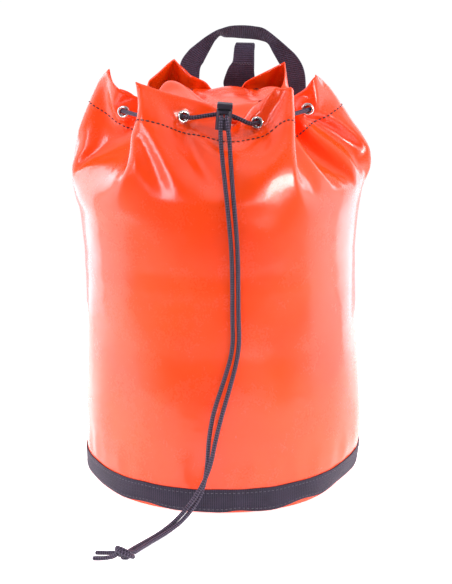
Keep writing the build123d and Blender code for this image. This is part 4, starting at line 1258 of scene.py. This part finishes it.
# the free rim rolls over a little
rim_w = np.linspace(0, 1, mf)[None, :] ** 10
ph = np.linspace(0, TAU, nf, endpoint=False)[:, None]
g[..., 2] += rim_w * (1.1 * np.sin(5 * ph + 1.0) + 0.7 * np.sin(9 * ph)) * (1 - sstep(g[..., 1], 30, 48))
verts = np.vstack([g.reshape(-1, 3), [[FC[0], FC[1], float(flap_height(np.array(FC[0]), np.array(FC[1])))]]])
faces = grid_faces(nf, mf, True)
nrm = grid_normals(g, True)
if nrm[..., 2].mean() < 0:
    nrm = -nrm
area_test = np.cross(g[1, 5] - g[0, 5], g[0, 6] - g[0, 5])[2]
if area_test < 0:
    faces = [f[::-1] for f in faces]
for i in range(nf):
    tri = (len(verts) - 1, i * mf, ((i + 1) % nf) * mf)
    a, b, c = (verts[k] for k in tri)
    faces.append(tri if np.cross(b - a, c - a)[2] > 0 else tri[::-1])
nn = np.vstack([nrm.reshape(-1, 3), [[0, 0, 1]]])
flap = shell("storm_flap_sheet", verts, faces, nn, 0.75, PVC, verts[:, :2] * MM, lip=0.35)
finish_piece(flap, "flap", "pvc_fabric", "storm_flap")
for f in faces:
    p = verts[list(f)]

# the strip that joins it to the back of the wall
xs = np.linspace(-33, 33, 23)
rows = []
for t in np.linspace(0, 1, 8):
    row = []
    for x in xs:
        yw = 58.0 + abs(x) * (0.42 if x > 0 else 0.36) - 3.0
        y0 = 51.6
        y = y0 + (yw - y0) * t
        z = 412.0 + 1.2 * math.sin(math.pi * t * 0.8) - 9.5 * t * t
        row.append((x, y, z))
    rows.append(row)
gs = np.array(rows)
if grid_normals(gs)[3, 10][2] < 0:
    gs = gs[:, ::-1]
strip = slab("flap_hinge_strip", gs, 0.75, PVC, lip=0.35)
finish_piece(strip, "bag", "pvc_fabric", "flap_seam")
ns = grid_normals(gs)
stitch_mesh("flap_hinge_stitching", dashes_on(gs[5], ns[5], pitch=4.6, length=3.1), THREAD, "bag", half=0.36, up=0.3)


# ---------------------------------------------------------------- shoulder straps
def natural_spline(pts, n=60):
    """C2 curve through a few points in a plane, by chord length."""
    p = np.asarray(pts, float)
    d = np.linalg.norm(np.diff(p, axis=0), axis=1)
    s = np.concatenate([[0], np.cumsum(d)])
    m = len(p)
    A, B = np.zeros((m, m)), np.zeros((m, 2))
    A[0, 0] = A[-1, -1] = 1
    for i in range(1, m - 1):
        A[i, i - 1], A[i, i], A[i, i + 1] = d[i - 1], 2 * (d[i - 1] + d[i]), d[i]
        B[i] = 6 * ((p[i + 1] - p[i]) / d[i] - (p[i] - p[i - 1]) / d[i - 1])
    M = np.linalg.solve(A, B)
    t = np.linspace(0, s[-1], n)
    k = np.clip(np.searchsorted(s, t, side="right") - 1, 0, m - 2)
    h, a, b = d[k][:, None], (s[k + 1] - t)[:, None], (t - s[k])[:, None]
    return (M[k] * a ** 3 + M[k + 1] * b ** 3) / (6 * h) + (p[k] / h - M[k] * h / 6) * a + (p[k + 1] / h - M[k + 1] * h / 6) * b


def ribbon(name, route3, across, width, thick, n=9, out_hint=None, pinch=None):
    c = np.asarray(route3, float)
    w = np.asarray(across, float)
    hw = np.full(len(c), width / 2.0) if pinch is None else np.asarray(pinch, float)
    g = between(c - w * hw[:, None], c + w * hw[:, None], n)
    nn = grid_normals(g)
    if out_hint is not None and (nn[len(c) // 2, n // 2] @ out_hint) < 0:
        g = g[:, ::-1]
        nn = grid_normals(g)
    g = g + nn * thick / 2
    return slab(name, g, thick, WEB, lip=0.4), g, grid_normals(g)


STRAPS = {"left": ((11.66, 102.98, 398.0), (-66.77, 143.20, 50.0), 1), "right": ((34.35, 99.25, 398.0), (107.76, 115.55, 50.0), -1)}
strap_rows = {}
for side, (top, low, sgn) in STRAPS.items():
    top, low = np.array(top), np.array(low)
    down = low - top
    L = np.linalg.norm(down)
    down /= L
    outw = BN - down * (BN @ down)
    outw /= np.linalg.norm(outw)
    across = np.cross(down, outw)

    def at(ab):
        ab = np.asarray(ab, float)
        return top + ab[:, :1] * down + ab[:, 1:2] * outw
    line = natural_spline([(3.0, 1.5), (0.10 * L, 24), (0.26 * L, 50), (0.50 * L, 62), (0.70 * L, 52)], 90)
    end, tang = line[-1], line[-1] - line[-2]
    tang /= np.linalg.norm(tang)
    nor = np.array([-tang[1], tang[0]])
    if nor[1] < 0:
        nor = -nor
    # the webbing goes over the first bar of the adjuster, back under it, and is sewn to itself

    def local(a, b):
        return end + tang * (14.5 + a) + nor * b
    wrap = [local(-23, 1.2), local(-17, 2.2), local(-13, 2.95), local(-9.4, 2.4), local(-8.0, 0.2), local(-9.4, -2.4), local(-13, -2.95),
            local(-17, -2.4), local(-23, -1.6), local(-36, -1.2)]
    body_line = line[:-7]
    strap_2d = np.vstack([body_line, spline([body_line[-1]] + wrap, 5)[1:]])
    pts = at(strap_2d)
    body_name = "strap_" + side
    s_ob, g, nn = ribbon("shoulder_strap_%s_webbing" % side, pts, np.tile(across, (len(pts), 1)), 20.6, 1.3, out_hint=None)
    finish_piece(s_ob, body_name, "webbing", "shoulder_strap_" + side)
    rows = []
    k0 = len(body_line) - 3
    for k in (k0 - 1, k0 - 6):
        side_n = nn[k] if nn[k, 4] @ outw > 0 else -nn[k]
        base_g = g[k] if nn[k, 4] @ outw > 0 else g[k] - nn[k] * 1.3
        rows += dashes_on(base_g, side_n, pitch=3.2, length=2.2, start=0.8, k=4)
    # lower web: out of the adjuster's bars and down to its anchor, with a free tail
    low_line = natural_spline([(local(14.4, 0)[0], local(14.4, 0)[1]), (0.90 * L, 27), (L - 3.0, 3.5)], 46)
    web_start = [local(34, -9.5), local(24, -7.8), local(14.5, -5.4), local(9.5, -4.2), local(4.5, -3.4), local(1.6, -1.6), local(0.5, 0.4), local(1.6, 2.4),
                 local(4.5, 3.0), local(7.2, 2.2), local(8.5, 0.2), local(9.8, -1.8), local(12.4, -2.75), local(16, -1.2)]
    web_2d = np.vstack([spline(web_start, 4), low_line[6:]])
    pts = at(web_2d)
    w_ob, gw_, nw_ = ribbon("strap_web_%s_webbing" % side, pts, np.tile(across, (len(pts), 1)), 19.6, 1.2)
    finish_piece(w_ob, body_name, "webbing", "strap_web_" + side)
    stitch_mesh("strap_%s_stitching" % side, rows, THREAD_WEB, body_name, half=0.34, up=0.25)

# anchor tabs above the base band
rows = []
for k, (side, sgn) in enumerate((("left", 1), ("right", -1))):
    a0 = math.radians(81 + 34 * sgn)
    g = np.zeros((11, 9, 3))
    for i in range(11):
        z = 28.8 + i * (45.2 - 28.8) / 10
        for j in range(9):
            w = (j / 8 - 0.5) * 24.6
            a = a0 + w / 152.0
            r = 153.1 + 0.12 * math.sin(j * 1.3 + i)
            g[i, j] = (r * math.cos(a), r * math.sin(a), z)
    o = np.array([math.cos(a0), math.sin(a0), 0])
    if grid_normals(g)[5, 4] @ o < 0:
        g = g[:, ::-1]
    nn = grid_normals(g)
    for i in (1, 9):
        rows += dashes_on(g[i], nn[i], pitch=3.4, length=2.3, start=0.8, k=4)
    rows += dashes_on([g[1, 1] + (g[9, 7] - g[1, 1]) * t for t in np.linspace(0, 1, 12)], [nn[5, 4]] * 12, pitch=3.4, length=2.3, start=0.6, k=4)
    rows += dashes_on([g[1, 7] + (g[9, 1] - g[1, 7]) * t for t in np.linspace(0, 1, 12)], [nn[5, 4]] * 12, pitch=3.4, length=2.3, start=0.6, k=4)
    tab = slab("strap_anchor_tab_" + side, g, 1.35, WEB, lip=0.4)
    finish_piece(tab, "bag", "webbing", *(["strap_anchors"] if k == 0 else []))
stitch_mesh("strap_anchor_stitching", rows, THREAD_WEB, "bag", half=0.36, up=0.3)

# ---------------------------------------------------------------- finishes of the CAD parts that show as they are
for node, mat, rounding in (("eyelets", NICKEL, 0), ("eyelet_washers", NICKEL, 0), ("cord_lock_barrel", PLASTIC, 0),
                            ("cord_lock_plunger", PLASTIC, 0), ("cord_lock_spring", STEEL, 0), ("strap_adjuster_left", PLASTIC, 0),
                            ("strap_adjuster_right", PLASTIC, 0)):
    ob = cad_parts[node]
    ob.data.materials.clear()
    ob.data.materials.append(mat)

bpy.context.view_layer.update()
